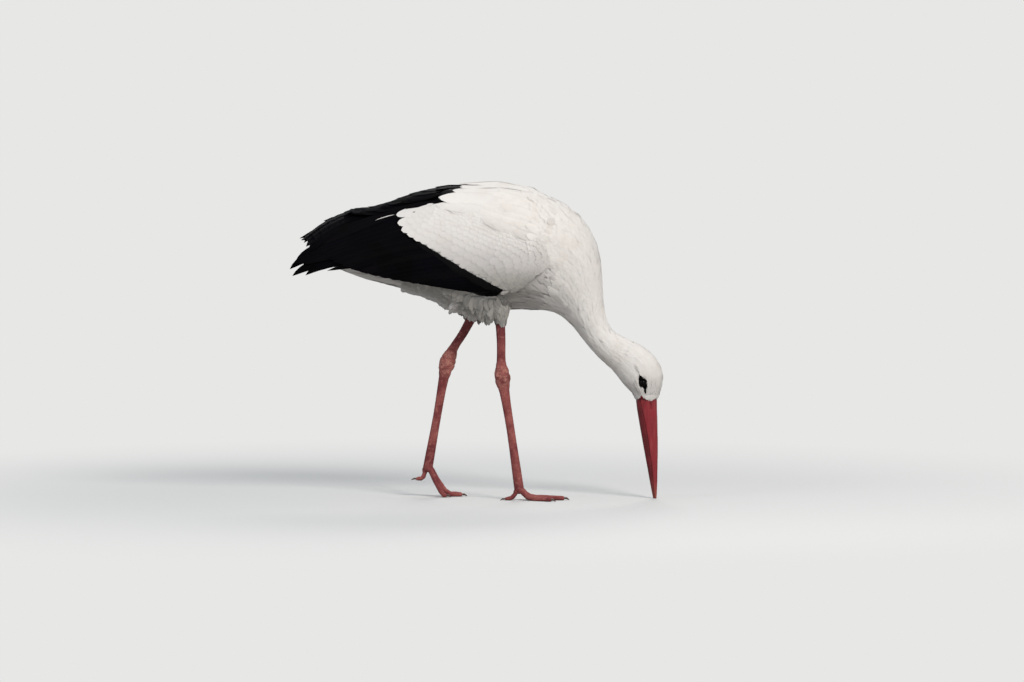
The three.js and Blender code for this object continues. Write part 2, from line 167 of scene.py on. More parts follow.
def along(points, u):
    """Points of a smooth open line through the given points, at parameters u from 0 to 1 of its length."""
    p = np.array(points, float)
    length = np.concatenate([[0], np.cumsum(np.linalg.norm(np.diff(p, axis=0), axis=1))])
    u = np.atleast_1d(u) * length[-1]
    tangent = np.gradient(p, length, axis=0)
    i = np.clip(np.searchsorted(length, u, side="right") - 1, 0, len(p) - 2)
    span = (length[i + 1] - length[i])[:, None]
    t = ((u - length[i])[:, None]) / span
    a, b, ta, tb = p[i], p[i + 1], tangent[i] * span, tangent[i + 1] * span
    return (a * (2 * t**3 - 3 * t**2 + 1) + ta * (t**3 - 2 * t**2 + t)
            + b * (3 * t**2 - 2 * t**3) + tb * (t**3 - t**2))


def bend(root, middle, tip, t):
    """A quadratic bend from root to tip, drawn towards the middle."""
    return root * (1 - t) ** 2 + middle * 2 * t * (1 - t) + tip * t**2


def share_of(x, full, zero):
    """1 at full, falling evenly to 0 at zero, and flat beyond both."""
    return np.clip((zero - x) / (zero - full), 0, 1)


def place(x, y, z):
    """Millimetres of the tables to metres of the frame."""
    return np.stack(np.broadcast_arrays(x * MM + SHIFT, y * MM, z * MM), -1)


def side_mm(points):
    """Metres of the frame to the x and z of the tables."""
    return (points[..., 0] - SHIFT) / MM, points[..., 2] / MM


def inside(x, z, outline):
    """True where side-view places in mm lie inside a closed outline."""
    hit = np.zeros(len(x), bool)
    for (x1, z1), (x2, z2) in zip(outline, outline[1:] + outline[:1]):
        rise = z2 - z1 if z2 != z1 else 1e-9
        hit ^= ((z1 > z) != (z2 > z)) & (x < (x2 - x1) * (z - z1) / rise + x1)
    return hit


def add_object(name, mesh, replaced=()):
    ob = bpy.data.objects.new(name, mesh)
    bpy.context.scene.collection.objects.link(ob)
    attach(ob, ROOT)
    if replaced:
        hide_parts(*replaced)


def smooth_mesh(name, co, faces, material):
    mesh = bpy.data.meshes.new(name)
    mesh.from_pydata([tuple(c) for c in co], [], faces)
    mesh.polygons.foreach_set("use_smooth", [True] * len(mesh.polygons))
    mesh.materials.append(material)
    return mesh


def node_polygons(names):
    """Vertices and faces of the named solids together, and the solid behind each face."""
    verts, faces, owner = [], [], []
    for n in names:
        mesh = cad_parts[n].data
        base = len(verts)
        verts += [tuple(v.co) for v in mesh.vertices]
        faces += [[base + i for i in p.vertices] for p in mesh.polygons]
        owner += [n] * len(mesh.polygons)
    return verts, faces, owner


def remeshed(names, voxel):
    """Vertices, edges, faces (quads) of one closed surface round the named solids."""
    verts, faces, _ = node_polygons(names)
    mesh = bpy.data.meshes.new("tmp")
    mesh.from_pydata(verts, [], faces)
    ob = bpy.data.objects.new("tmp", mesh)
    bpy.context.scene.collection.objects.link(ob)
    mod = ob.modifiers.new("remesh", "REMESH")
    mod.mode = "VOXEL"
    mod.voxel_size = voxel * MM
    new = bpy.data.meshes.new_from_object(ob.evaluated_get(bpy.context.evaluated_depsgraph_get()))
    co = np.empty(len(new.vertices) * 3)
    new.vertices.foreach_get("co", co)
    edges = np.empty(len(new.edges) * 2, int)
    new.edges.foreach_get("vertices", edges)
    polys = [tuple(p.vertices) for p in new.polygons]
    bpy.data.objects.remove(ob)
    bpy.data.meshes.remove(mesh)
    bpy.data.meshes.remove(new)
    return co.reshape(-1, 3), edges.reshape(-1, 2), polys


def averaged(values, edges, passes, keep=0.5):
    """Values at vertices, smoothed along the edges."""
    n = len(values)
    flat = values.astype(float).reshape(n, -1)
    both = np.concatenate([edges, edges[:, ::-1]])
    degree = np.maximum(np.bincount(both[:, 0], minlength=n), 1)
    for _ in range(passes):
        for k in range(flat.shape[1]):
            mean = np.bincount(both[:, 0], weights=flat[both[:, 1], k], minlength=n) / degree
            flat[:, k] = flat[:, k] * keep + mean * (1 - keep)
    return flat.reshape(values.shape)


def smoothed(co, edges, passes):
    """Shape smoothing that keeps the volume."""
    for _ in range(passes):
        co = averaged(co, edges, 1)
        co = averaged(co, edges, 1, 1.53)
    return co


def as_quads(faces):
    return np.array([f if len(f) == 4 else (*f, f[-1]) for f in faces])


def vertex_normals(co, faces):
    q = as_quads(faces)
    n = np.cross(co[q[:, 2]] - co[q[:, 0]], co[q[:, 3]] - co[q[:, 1]])
    out = np.zeros_like(co)
    for k in range(4):
        for c in range(3):
            out[:, c] += np.bincount(q[:, k], weights=n[:, c], minlength=len(co))
    return unit(out)


def attribute(mesh, name, values):
    values = np.asarray(values, np.float32)
    kind, field = ("FLOAT", "value") if values.ndim == 1 else ("FLOAT_VECTOR", "vector")
    mesh.attributes.new(name, kind, "POINT").data.foreach_set(field, values.ravel())


# ---- node material helper
class Nodes:
    """Short-hand for a material's node tree."""

    def __init__(self, name):
        self.material = bpy.data.materials.new(name)
        self.material.use_nodes = True
        self.tree = self.material.node_tree
        self.bsdf = self.tree.nodes["Principled BSDF"]

    def link(self, value, socket):
        if isinstance(value, bpy.types.NodeSocket):
            self.tree.links.new(value, socket)
        else:
            socket.default_value = value

    def node(self, kind, inputs=(), **props):
        n = self.tree.nodes.new(kind)
        for k, v in props.items():
            setattr(n, k, v)
        for k, v in dict(inputs).items():
            self.link(v, n.inputs[k])
        return n

    def attr(self, name, output="Fac"):
        return self.node("ShaderNodeAttribute", attribute_name=name).outputs[output]

    def position(self):
        return self.node("ShaderNodeTexCoord").outputs["Object"]

    def split(self, vector):
        return self.node("ShaderNodeSeparateXYZ", {0: vector}).outputs[:3]

    def join(self, x, y, z):
        return self.node("ShaderNodeCombineXYZ", {0: x, 1: y, 2: z}).outputs[0]

    def math(self, op, a, b=0.0):
        return self.node("ShaderNodeMath", {0: a, 1: b}, operation=op).outputs[0]

    def times(self, a, b):
        return self.math("MULTIPLY", a, b)

    def vector_math(self, op, a, b=(0.0, 0.0, 0.0), output=0):
        return self.node("ShaderNodeVectorMath", {0: a, 1: tuple(b) if isinstance(b, Vector) else b},
                         operation=op).outputs[output]

    def noise(self, vector, scale, detail=2.0):
        return self.node("ShaderNodeTexNoise", {"Vector": vector, "Scale": scale, "Detail": detail}).outputs["Fac"]

    def ramp(self, fac, stops):
        """Map Range with smooth ends: stops are (from low, from high, to low, to high)."""
        inputs = {0: fac, **{k + 1: v for k, v in enumerate(stops)}}
        return self.node("ShaderNodeMapRange", inputs, interpolation_type="SMOOTHSTEP").outputs[0]

    def mix(self, fac, a, b):
        n = self.node("ShaderNodeMix", data_type="RGBA")
        self.link(fac, n.inputs[0])
        for socket, value in ((n.inputs[6], a), (n.inputs[7], b)):
            self.link((*value, 1.0) if isinstance(value, tuple) else value, socket)
        return n.outputs[2]

    def layers(self, tint, *rows):
        """One colour over another: each row is a colour, the number that brings it in, and its ramp's stops."""
        for color, fac, *stops in rows:
            tint = self.mix(self.ramp(fac, stops), tint, color)
        return tint

    def bump(self, height, distance, strength):
        return self.node("ShaderNodeBump", {"Height": height, "Distance": distance, "Strength": strength}).outputs[0]

    def finish(self, color, rough, normal=None, gloss=None):
        self.link(color, self.bsdf.inputs["Base Color"])
        self.link(rough, self.bsdf.inputs["Roughness"])
        if normal is not None:
            self.link(normal, self.bsdf.inputs["Normal"])
        if gloss is not None:
            self.link(gloss, self.bsdf.inputs["Specular IOR Level"])
        return self.material


def barbs(n, rows):
    """A vane's own numbers: distance off the shaft, place along it, chance, and fine slanted barb lines."""
    across, length, chance = n.split(n.attr("vane", "Vector"))
    off_shaft = n.math("ABSOLUTE", across)
    slant = n.math("SUBTRACT", n.times(length, rows), n.times(off_shaft, rows * 0.16))
    fine = n.noise(n.join(slant, n.times(across, 0.6), n.times(chance, 37.0)), 1.0)
    return off_shaft, length, chance, fine


def white_feather_material():
    n = Nodes("feather_white")
    off_shaft, length, chance, fine = barbs(n, 46.0)
    # Painted shade: each feather's number greys the white towards SHADE, and past 1 towards DUSK.
    painted_shade = n.attr("painted_shade")
    tint = n.layers(WHITE,
                    (CREAM, n.noise(n.position(), 22.0, 3.0), 0.42, 0.72, 0.0, 0.35),
                    (SHADE, painted_shade, 0.0, 1.0, 0.0, 0.9),
                    (DUSK, painted_shade, 1.0, 2.0, 0.0, 1.0),
                    # Painted shade at the root of each vane, where the feathers before it lie over it.
                    (SHADE, length, 0.0, 0.75, 0.16, 0.0),
                    (SHADE, fine, 0.35, 0.75, 0.0, 0.16),
                    (CREAM, chance, 0.0, 1.0, 0.0, 0.16))
    # Painted shade along the rim and tip of each vane, to show the steps between rows.
    rim = n.math("MAXIMUM", n.ramp(off_shaft, (0.72, 1.0, 0.0, 1.0)), n.ramp(length, (0.90, 1.0, 0.0, 1.0)))
    tint = n.mix(n.times(rim, 0.20), tint, SHADE)
    tint = n.layers(tint, (SHAFT, off_shaft, 0.0, 0.08, 0.10, 0.0))
    return n.finish(tint, n.ramp(fine, (0.2, 0.8, 0.62, 0.80)), n.bump(fine, 0.0004, 0.35), 0.25)


def black_feather_material():
    n = Nodes("feather_black")
    off_shaft, _, chance, fine = barbs(n, 120.0)
    tint = n.layers(BLACK,
                    # Painted sheen: bluish patches in the colour.
                    (BLACK_SHEEN, n.noise(n.position(), 16.0), 0.35, 0.70, 0.0, 0.75),
                    (BLACK_EDGE, fine, 0.40, 0.80, 0.0, 0.30),
                    # Painted highlight along the rims.
                    (BLACK_EDGE, off_shaft, 0.82, 1.0, 0.0, 0.40),
                    (BLACK_EDGE, chance, 0.55, 1.0, 0.0, 0.30),
                    # Painted highlight along the shaft.
                    (BLACK_EDGE, off_shaft, 0.0, 0.06, 0.6, 0.0))
    return n.finish(tint, n.ramp(fine, (0.2, 0.8, 0.46, 0.60)), n.bump(fine, 0.0004, 0.35), 0.02)


def skin_material():
    n = Nodes("skin")
    pos = n.position()
    bare = n.attr("leg")
    down = n.layers(WHITE, (SHADE, n.noise(pos, 60.0, 3.0), 0.3, 0.7, 0.0, 1.0))
    dark = n.mix(n.noise(pos, 220.0, 3.0), BLACK, BLACK_SKIN)
    cells = n.node("ShaderNodeTexVoronoi", {"Vector": pos, "Scale": 330.0}, feature="DISTANCE_TO_EDGE")
    seams = n.ramp(cells.outputs["Distance"], (0.02, 0.14, 1.0, 0.0))
    leg = n.layers(LEG_RED,
                   (LEG_DARK, n.noise(pos, 38.0, 3.0), 0.32, 0.70, 0.0, 1.0),
                   # Painted shade at the top of the shin, under the thigh.
                   (SHIN_SHADE, n.attr("shin"), 0.0, 1.0, 0.0, 0.75),
                   (LEG_PALE, n.noise(pos, 160.0), 0.52, 0.78, 0.0, 0.5))
    knob = n.times(n.attr("hock"), n.ramp(n.noise(pos, 110.0), (0.40, 0.62, 0.15, 1.0)))
    leg = n.mix(n.times(seams, 0.55), n.mix(knob, leg, LEG_PALE), LEG_DARK)
    gape = n.mix(n.noise(pos, 90.0), BILL_RED, BILL_DARK)
    color = n.layers(down,
                     (dark, n.attr("black"), 0.35, 0.65, 0.0, 1.0),
                     (leg, bare, 0.3, 0.7, 0.0, 1.0),
                     (gape, n.attr("gape"), 0.3, 0.7, 0.0, 1.0))
    height = n.math("SUBTRACT", n.noise(pos, 300.0), n.times(seams, n.times(bare, 1.4)))
    return n.finish(color, n.ramp(n.noise(pos, 90.0), (0.2, 0.8, 0.50, 0.72)), n.bump(height, 0.0004, 0.6), 0.10)


def bill_material(name, lower):
    """Red, streaked along its length, paler at the tip and darker at the face; the lower half is darker, partly a
    duller red of its own and partly painted shade.
    """
    n = Nodes(name)
    pos = n.position()
    x, y, z = n.split(pos)
    streak = n.noise(n.join(n.times(x, 260.0), n.times(y, 260.0), n.times(z, 26.0)), 1.0, 3.0)
    tint = n.layers(BILL_RED,
                    (BILL_DARK if lower else BILL_DULL, n.noise(pos, 45.0, 3.0), 0.35, 0.70, 0.0, 0.7),
                    (BILL_DARK, streak, 0.45, 0.75, 0.0, 0.5),
                    (BILL_STREAK, streak, 0.30, 0.42, 0.25, 0.0),
                    (BILL_TIP, z, 0.0, 0.045, 0.75, 0.0),
                    (BILL_ROOT, z, 0.165, 0.205, 0.0, 0.65))
    if lower:
        # Partly painted shade: the lower half darker, as it faces down.
        tint = n.mix(0.55, tint, BILL_DARK)
    height = n.math("ADD", streak, n.times(n.noise(pos, 500.0), 0.3))
    return n.finish(tint, n.ramp(streak, (0.3, 0.7, 0.34, 0.52)), n.bump(height, 0.0003, 0.6), 0.30)


def horn_material():
    n = Nodes("claw")
    pos = n.position()
    rough = n.ramp(n.noise(pos, 300.0), (0.2, 0.8, 0.32, 0.5))
    return n.finish(n.mix(n.noise(pos, 180.0, 3.0), *CLAW), rough, n.bump(n.noise(pos, 400.0), 0.0002, 0.5))


def eye_material(centre, axis):
    """A dark brown iris round a black pupil, by the angle from the eye's own axis."""
    n = Nodes("eye")
    out = n.vector_math("NORMALIZE", n.vector_math("SUBTRACT", n.position(), centre))
    facing = n.vector_math("DOT_PRODUCT", out, axis, "Value")
    rays = n.noise(out, 26.0, 3.0)
    iris = n.layers(IRIS[0], (IRIS[1], rays, 0.3, 0.7, 0.0, 1.0))
    tint = n.layers(iris, (PUPIL, facing, 0.885, 0.905, 0.0, 1.0), (EYE_RIM, facing, 0.62, 0.68, 1.0, 0.0))
    return n.finish(tint, n.ramp(rays, (0.0, 1.0, 0.06, 0.11)), n.bump(rays, 0.0001, 0.1), 0.06)


# ---- the smooth outer form and the skin under the coat
def leg_relief(co, normals, hock):
    """Low rounded scales on the bare legs and the knobs of the hocks, as real relief."""
    rows = np.sin(co[:, 2] * 2 * math.pi / (LEG_SCALE * MM))
    turn = np.sin((co[:, 0] + co[:, 1]) * 2 * math.pi / (LEG_SCALE * 1.3 * MM))
    knobs = np.array([noise.noise(Vector(c) * 125.0) + 0.5 * noise.noise(Vector(c) * 260.0) for c in co])
    return co + normals * ((LEG_SCALE_HEIGHT * rows * turn + KNOB_HEIGHT * hock * knobs) * MM)[:, None]


def near_hock(co):
    """1 at the middle of each hock, falling to 0 above and below it."""
    out = np.zeros(len(co))
    for side in SIDES:
        low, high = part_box("hock_" + side)
        gap = np.linalg.norm(co - np.array((low + high) / 2), axis=1)
        out = np.maximum(out, np.clip(1.25 - gap / ((high.z - low.z) * 0.62), 0, 1))
    return out


def family(node):
    """The row of SKIN_DEPTH that a node of flesh belongs to."""
    if node.startswith("wing"):
        return "wing" if node.endswith("coverts") else "flight"
    if node.startswith("thigh"):
        return "thigh"
    return "leg" if node.startswith(LEG_WORDS) else node


class Form:
    """The outer surface of the plumage, with the solid behind each corner of it."""

    def __init__(self):
        names = [n for n in FLESH if n not in LEGS and not n.endswith("primaries")]
        self.co, self.edges, self.quads = remeshed(names, FORM_VOXEL)
        self.co = smoothed(self.co, self.edges, 5)
        self.normals = vertex_normals(self.co, self.quads)
        self.tree = BVHTree.FromPolygons([tuple(c) for c in self.co], self.quads)
        verts, faces, owner = node_polygons(FLESH)
        solid = BVHTree.FromPolygons(verts, faces)
        self.label = np.array([owner[solid.find_nearest(Vector(c))[2]] for c in self.co])

    def nearest(self, points):
        """Closest places on the outer surface, and their outward directions."""
        where, out = np.empty_like(points), np.empty_like(points)
        for i, p in enumerate(points):
            where[i], _, face, _ = self.tree.find_nearest(Vector(p))
            out[i] = self.normals[list(self.quads[face])].mean(0)
        return where, unit(out)


def black_mark(co, wing):
    """1 where the plumage is black, by the edge of the white coverts; wing is true on a wing."""
    x, z = side_mm(co)
    edge = along(COVERT_EDGE, np.linspace(0, 1, 40))
    front, rear = COVERT_EDGE[0][0], COVERT_EDGE[-1][0]
    low = (z < np.interp(x, edge[::-1, 0], edge[::-1, 1])) & (x > rear) & (x < front - 8)
    high = (z > np.interp(x, *zip(*BLACK_TOP))) & (x < BLACK_TOP[-1][0])
    saddle = ~wing & (x < -34) & (z > 500)
    return ((wing & (low | (x <= rear) | high)) | saddle).astype(float)


def gape_mark(co):
    """1 on the red corner of the mouth."""
    return inside(*side_mm(co), GAPE_CORNER).astype(float)


def face_mark(co):
    """1 on the black skin round the eye."""
    return (inside(*side_mm(co), EYE_PATCH) & (np.abs(co[:, 1]) > FACE_MIDDLE * MM)).astype(float)


def build_skin(form, material):
    """The form drawn in by the depth of the coat, with the bare legs, as one piece."""
    fam = np.array([family(n) for n in form.label])
    depth = np.array([SKIN_DEPTH[f] for f in fam])
    near_bill = np.clip(np.linalg.norm(form.co - BILL_BASE, axis=1) / (THINNER_AT_BILL * MM), 0, 1)
    depth = depth * np.where(form.label == "head", near_bill, 1.0)
    past_end = (form.co[:, 0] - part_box("tail")[0].x) / MM
    depth += np.where(fam == "tail", TAIL_DEEPER * share_of(past_end, 0, TAIL_DEEPER_OVER), 0.0)
    out = form.normals.copy()
    for side, sign in SIDES.items():
        mine = (fam == "flight") & (form.co[:, 1] * sign > 0)
        out[mine] = wing_points(side, np.stack(side_mm(form.co[mine]), 1))[1]
    shrink = averaged(out * depth[:, None] * MM, form.edges, 25)
    co = smoothed(form.co - shrink, form.edges, 4)
    black = averaged(black_mark(co, (fam == "wing") | (fam == "flight")), form.edges, 2)
    leg_co, leg_edges, leg_quads = remeshed(LEGS, LEG_VOXEL)
    leg_co = smoothed(leg_co, leg_edges, 3)
    hock = near_hock(leg_co)
    leg_co = leg_relief(leg_co, vertex_normals(leg_co, leg_quads), hock)
    body_none, leg_none = np.zeros(len(co)), np.zeros(len(leg_co))
    faces = form.quads + [tuple(i + len(co) for i in q) for q in leg_quads]
    mesh = smooth_mesh("skin", np.concatenate([co, leg_co]), faces, material)
    for name, on_body, on_leg in (("black", np.maximum(black, face_mark(co)), leg_none),
                                  ("leg", body_none, leg_none + 1),
                                  ("gape", gape_mark(co), leg_none),
                                  ("hock", body_none, hock),
                                  # The shin number: how much painted shade lies on the top of the shin.
                                  ("shin", body_none, np.clip((leg_co[:, 2] / MM - SHIN_SHADE_FROM) / SHIN_SHADE_FADE, 0, 1))):
        attribute(mesh, name, np.concatenate([on_body, on_leg]))
    add_object("skin", mesh, [n for n in FLESH if not n.endswith("primaries")])


# ---- feathers
# Sections of a vane: (across, height) round its rim, of a plain one and of one with a shaft.
RING_PLAIN = np.array([(-1, 0), (0, 1), (1, 0), (0, -1)], float)
RING_SHAFT = np.array([(-1, 0), (-0.5, 0.75), (-0.07, 0.8), (0, 1.25), (0.07, 0.8), (0.5, 0.75), (1, 0), (0, -0.8)])
# Outlines of a vane: (share of the length, share of the half width).
ROUND = [(0, 0.0), (0.12, 0.55), (0.35, 0.9), (0.6, 1.0), (0.82, 0.86), (0.95, 0.5), (1, 0.0)]
LANCE = [(0, 0.0), (0.12, 0.6), (0.3, 0.95), (0.5, 1.0), (0.75, 0.7), (0.92, 0.3), (1, 0.0)]
QUILL = [(0, 0.0), (0.06, 0.35), (0.25, 0.85), (0.5, 1.0), (0.8, 0.95), (0.93, 0.7), (0.98, 0.38), (1, 0.0)]
POINTED = [(0, 0.0), (0.06, 0.4), (0.25, 0.9), (0.55, 1.0), (0.78, 0.8), (0.92, 0.42), (0.98, 0.15), (1, 0.0)]
TIP_CROWDING = 1.45    # how much closer together the stations are at the tip
# Sides of a feather's own patch of the map, and the room it takes.
SMALL_PATCH, BROAD_PATCH, TAIL_PATCH, FLIGHT_PATCH = 0.003, 0.008, 0.01, 0.02
PATCH_ROOM = 1.25


class Coat:
    """Feathers gathered for one piece: centre lines, directions, widths. The small ones have plain vanes."""

    def __init__(self, name, color, stations, patch=SMALL_PATCH, replaced=(), tilt=0.15):
        self.name, self.color, self.stations = name, color, stations
        self.patch, self.replaced, self.tilt = patch, replaced, tilt
        self.ring = RING_PLAIN if patch == SMALL_PATCH else RING_SHAFT
        self.parts = []

    def add(self, centre, normal, half, thick, camber, uv, painted_shade=0.0):
        """centre and normal are (n, stations, 3); half is (n, stations); the rest are (n,) or numbers."""
        n = len(centre)
        thick, camber, painted_shade = (np.broadcast_to(v, n) for v in (thick, camber, painted_shade))
        self.parts.append((centre, np.broadcast_to(normal, centre.shape), half, thick, camber, uv, painted_shade))

    def build(self):
        """One mesh of closed vanes, with its marks and its map."""
        centre, normal, half, thick, camber, uv, painted_shade = (np.concatenate(p) for p in zip(*self.parts))
        n, s = half.shape
        r = len(self.ring)
        chance = rng.random(n)
        direction = unit(np.gradient(centre, axis=1))
        lateral = unit(np.cross(normal, direction))
        outward = unit(np.cross(direction, lateral))
        u, h = self.ring.T
        w = half[:, 1:-1]
        taper = np.clip(w / np.maximum(half.max(1), 1e-9)[:, None], 0.35, 1)
        side = w[..., None] * u
        lift = thick[:, None, None] * taper[..., None] * h * 0.5 - (camber[:, None] * w)[..., None] * u**2
        body = (centre[:, 1:-1, None] + lateral[:, 1:-1, None] * side[..., None]
                + outward[:, 1:-1, None] * lift[..., None])
        verts = np.concatenate([centre[:, :1], body.reshape(n, -1, 3), centre[:, -1:]], axis=1)
        per = verts.shape[1]
        vane = np.zeros((n, per, 3))
        vane[:, 1:-1, 0] = np.tile(u, s - 2)
        vane[:, 1:-1, 1] = np.repeat(np.linspace(0, 1, s)[1:-1], r)
        vane[:, -1, 1] = 1
        vane[:, :, 2] = chance[:, None]
        faces, sides = self.template(s, r)
        loops = faces.ravel()
        all_loops = (loops[None] + (np.arange(n) * per)[:, None]).ravel()
        mesh = bpy.data.meshes.new(self.name)
        mesh.vertices.add(n * per)
        mesh.vertices.foreach_set("co", verts.ravel())
        mesh.loops.add(len(all_loops))
        mesh.loops.foreach_set("vertex_index", all_loops)
        mesh.polygons.add(n * len(faces))
        mesh.polygons.foreach_set("loop_start", np.arange(n * len(faces)) * 3)
        mesh.polygons.foreach_set("use_smooth", np.ones(n * len(faces), bool))
        mesh.update(calc_edges=True)
        self.corner_normals(mesh, normal, lateral, loops, sides, per)
        self.sharp_rims(mesh, n, s, per)
        attribute(mesh, "vane", vane.reshape(-1, 3))
        # Each feather's amount of painted shade.
        attribute(mesh, "painted_shade", np.repeat(painted_shade, per))
        cell = free_cells(uv, self.patch)
        flat = np.zeros((n, per, 2))
        flat[:, :, 0] = cell[:, None, 0] + vane[:, :, 0] * self.patch * 0.40
        flat[:, :, 1] = cell[:, None, 1] + (vane[:, :, 1] - 0.5) * self.patch * 0.80
        layer = mesh.uv_layers.new(name="OFBake")
        layer.data.foreach_set("uv", flat.reshape(-1, 2)[all_loops].astype(np.float32).ravel())
        mesh.materials.append(FEATHER[self.color])
        add_object(self.name, mesh, self.replaced)

    def corner_normals(self, mesh, normal, lateral, loops, sides, per):
        """Each corner's normal for light: the coat's own, a little rounded across each feather."""
        u, h = self.ring.T
        up = np.repeat(normal[:, :1], per, axis=1)
        up[:, -1] = normal[:, -1]
        lean = np.zeros_like(up)
        lean[:, 1:-1] = (lateral[:, 1:-1, None] * (u * self.tilt)[:, None]).reshape(len(up), -1, 3)
        above = np.repeat((h + np.roll(h, -1) > 0)[sides], 3)
        corners = unit(np.where(above[None, :, None], (up + lean)[:, loops], (lean - up)[:, loops]))
        layer = mesh.attributes.new("custom_normal", "FLOAT_VECTOR", "CORNER")
        layer.data.foreach_set("vector", corners.astype(np.float32).ravel())

    def sharp_rims(self, mesh, n, s, per):
        rim = np.zeros((n, per), bool)
        rim[:, 0] = rim[:, -1] = True
        rim[:, 1:-1] = np.tile(np.abs(self.ring[:, 0]) == 1, s - 2)
        edge = np.empty(len(mesh.edges) * 2, int)
        mesh.edges.foreach_get("vertices", edge)
        sharp = rim.ravel()[edge].reshape(-1, 2).all(1)
        mesh.attributes.new("sharp_edge", "BOOLEAN", "EDGE").data.foreach_set("value", sharp)

    def template(self, s, r):
        """Triangles of one feather, and the side of its ring on which each lies. Upper and under side
        are cut along the same diagonals, from rim to shaft, so that they don't cross where a vane twists."""
        reach = np.abs(self.ring[:, 0])
        faces, sides = [], []
        last = 1 + (s - 2) * r
        for k in range(r):
            m = (k + 1) % r
            strip = [(0, 1 + k, 1 + m), (last - r + m, last - r + k, last)]
            for a in range(1, last - r, r):
                b = a + r
                if reach[k] > reach[m]:
                    strip += [(a + k, b + k, b + m), (a + k, b + m, a + m)]
                else:
                    strip += [(a + k, b + k, a + m), (b + k, b + m, a + m)]
            faces += strip
            sides += [k] * len(strip)
        return np.array(faces), np.array(sides)


def free_cells(uv, patch):
    """Each feather's own patch of the map: the free one nearest to its root's place on the unwrap."""
    grid = int(1 / (patch * PATCH_ROOM))
    want = np.clip((uv * grid).astype(int), 0, grid - 1)
    used = set()
    out = np.empty((len(uv), 2))
    rings = sorted(((i, j) for i in range(-40, 41) for j in range(-40, 41)), key=lambda c: c[0]**2 + c[1]**2)
    for k, (a, b) in enumerate(want):
        for i, j in rings:
            c = (a + i, b + j)
            if c not in used and 0 <= c[0] < grid and 0 <= c[1] < grid:
                used.add(c)
                break
        out[k] = (np.array(c) + 0.5) / grid
    return out


def widths(profile, t, half):
    return np.interp(t, *zip(*profile))[None, :] * half[:, None]


def toward_tip(count):
    """Stations from root to tip, closer together at the tip, so that it comes out round."""
    return 1 - (1 - np.linspace(0, 1, count)) ** TIP_CROWDING


def averaged_line(line):
    """Points along each feather, evened out."""
    out = line.copy()
    out[:, 1:-1] = (line[:, :-2] + line[:, 1:-1] + line[:, 2:]) / 3
    return out


# ---- small feathers scattered over the body
SPINE_X, SPINE_Z = np.array(SPINE, float).T
SPINE_M = place(SPINE_X, 0.0, SPINE_Z)
SPINE_LENGTH = np.concatenate([[0], np.cumsum(np.linalg.norm(np.diff(SPINE_M, axis=0), axis=1))])
BORDER_TURN, BORDER_ROWS, BORDER_STEP, BORDER_LOWEST = 6.0, 9, 1.1, 179.5
TRIES = 3.2             # random places tried for each that would fit
ROOT_BEHIND = 0.06      # share of a feather's length that lies before its place


def spine_place(points):
    """Length along the middle line, direction towards the tail, and angle round the line, for each point."""
    a, b = SPINE_M[:-1], SPINE_M[1:]
    ab = b - a
    rel = points[:, None] - a[None]
    t = np.clip((rel * ab).sum(-1) / (ab * ab).sum(-1), 0, 1)
    gap = np.linalg.norm(rel - t[..., None] * ab, axis=-1)
    i = gap.argmin(1)
    t = t[np.arange(len(points)), i]
    s = SPINE_LENGTH[i] + t * np.linalg.norm(ab[i], axis=1)
    weight = 1 / (gap + 0.004) ** 5
    tangent = -unit((weight[..., None] * unit(ab)[None]).sum(1))
    off = points - (a[i] + t[:, None] * ab[i])
    up = np.cross(tangent, np.array([0.0, 1.0, 0.0]))
    return s, tangent, np.arctan2((off * up).sum(1), off[:, 1])


def body_map(points):
    """Places on the unwrap of the body: along the middle line, and round it."""
    s, _, angle = spine_place(points)
    return np.stack([s / SPINE_LENGTH[-1], (angle + math.pi) / (2 * math.pi)], 1)


def wing_map(x, z):
    """Places on the unwrap of a wing, from the side."""
    return np.stack([(x + 360) / 620, (z - 340) / 280], -1)


def wing_lie(points):
    """How the wing's small feathers lie: back and a little down, less steep to the rear."""
    x, _ = side_mm(points)
    slope = np.radians(np.interp(x, [-140, -40, 60, 140], [15, 20, 28, 34]))
    return np.stack([-np.cos(slope), np.zeros(len(x)), -np.sin(slope)], 1)


def lie(points, labels):
    """The direction in which the feathers lie, root to tip."""
    out = spine_place(points)[1]
    wing = np.char.startswith(labels, "wing")
    out[wing] = wing_lie(points[wing])
    for side, (top, low) in THIGH_LINES.items():
        mine = labels == "thigh_" + side
        down = unit(np.array(low, float) - np.array(top, float)) + np.array([-0.12, 0, 0])
        amount = share_of(points[mine, 2], 0.365, 0.405)[:, None]
        out[mine] = out[mine] * (1 - amount) * 0.6 + down * amount
    return unit(out)


def scattered(form, mask, spacing, seed, coarser=SPARSER):
    """Places on the outer form, spread evenly at random, closer where spacing (in mm) is smaller, each
    with a corner of the form near it."""
    local = np.random.default_rng(seed)
    quads = as_quads(form.quads)
    quads = quads[mask[quads].all(1)]
    a, b, c, d = (form.co[quads[:, k]] for k in range(4))
    area = np.linalg.norm(np.cross(c - a, d - b), axis=1) / 2
    gap = (np.broadcast_to(spacing, len(mask)) * MM * coarser)[quads].mean(1)
    weight = area / gap**2
    count = int(weight.sum() * TRIES)
    pick = local.choice(len(quads), count, p=weight / weight.sum())
    f, g = local.random((2, count))[:, :, None]
    points = (a[pick] * (1 - f) + b[pick] * f) * (1 - g) + (d[pick] * (1 - f) + c[pick] * f) * g
    gap = gap[pick]
    steps = [(i, j, k) for i in (-1, 0, 1) for j in (-1, 0, 1) for k in (-1, 0, 1)]
    grid, kept = {}, []
    for i, (x, y, z) in enumerate(np.floor(points / gap.max()).astype(int)):
        cells = (grid.get((x + dx, y + dy, z + dz), ()) for dx, dy, dz in steps)
        apart = (points[q] - points[i] for cell in cells for q in cell)
        if not any(v[0] * v[0] + v[1] * v[1] + v[2] * v[2] < gap[i] * gap[i] for v in apart):
            grid.setdefault((x, y, z), []).append(i)
            kept.append(i)
    return points[kept], quads[pick[kept]][:, 0]


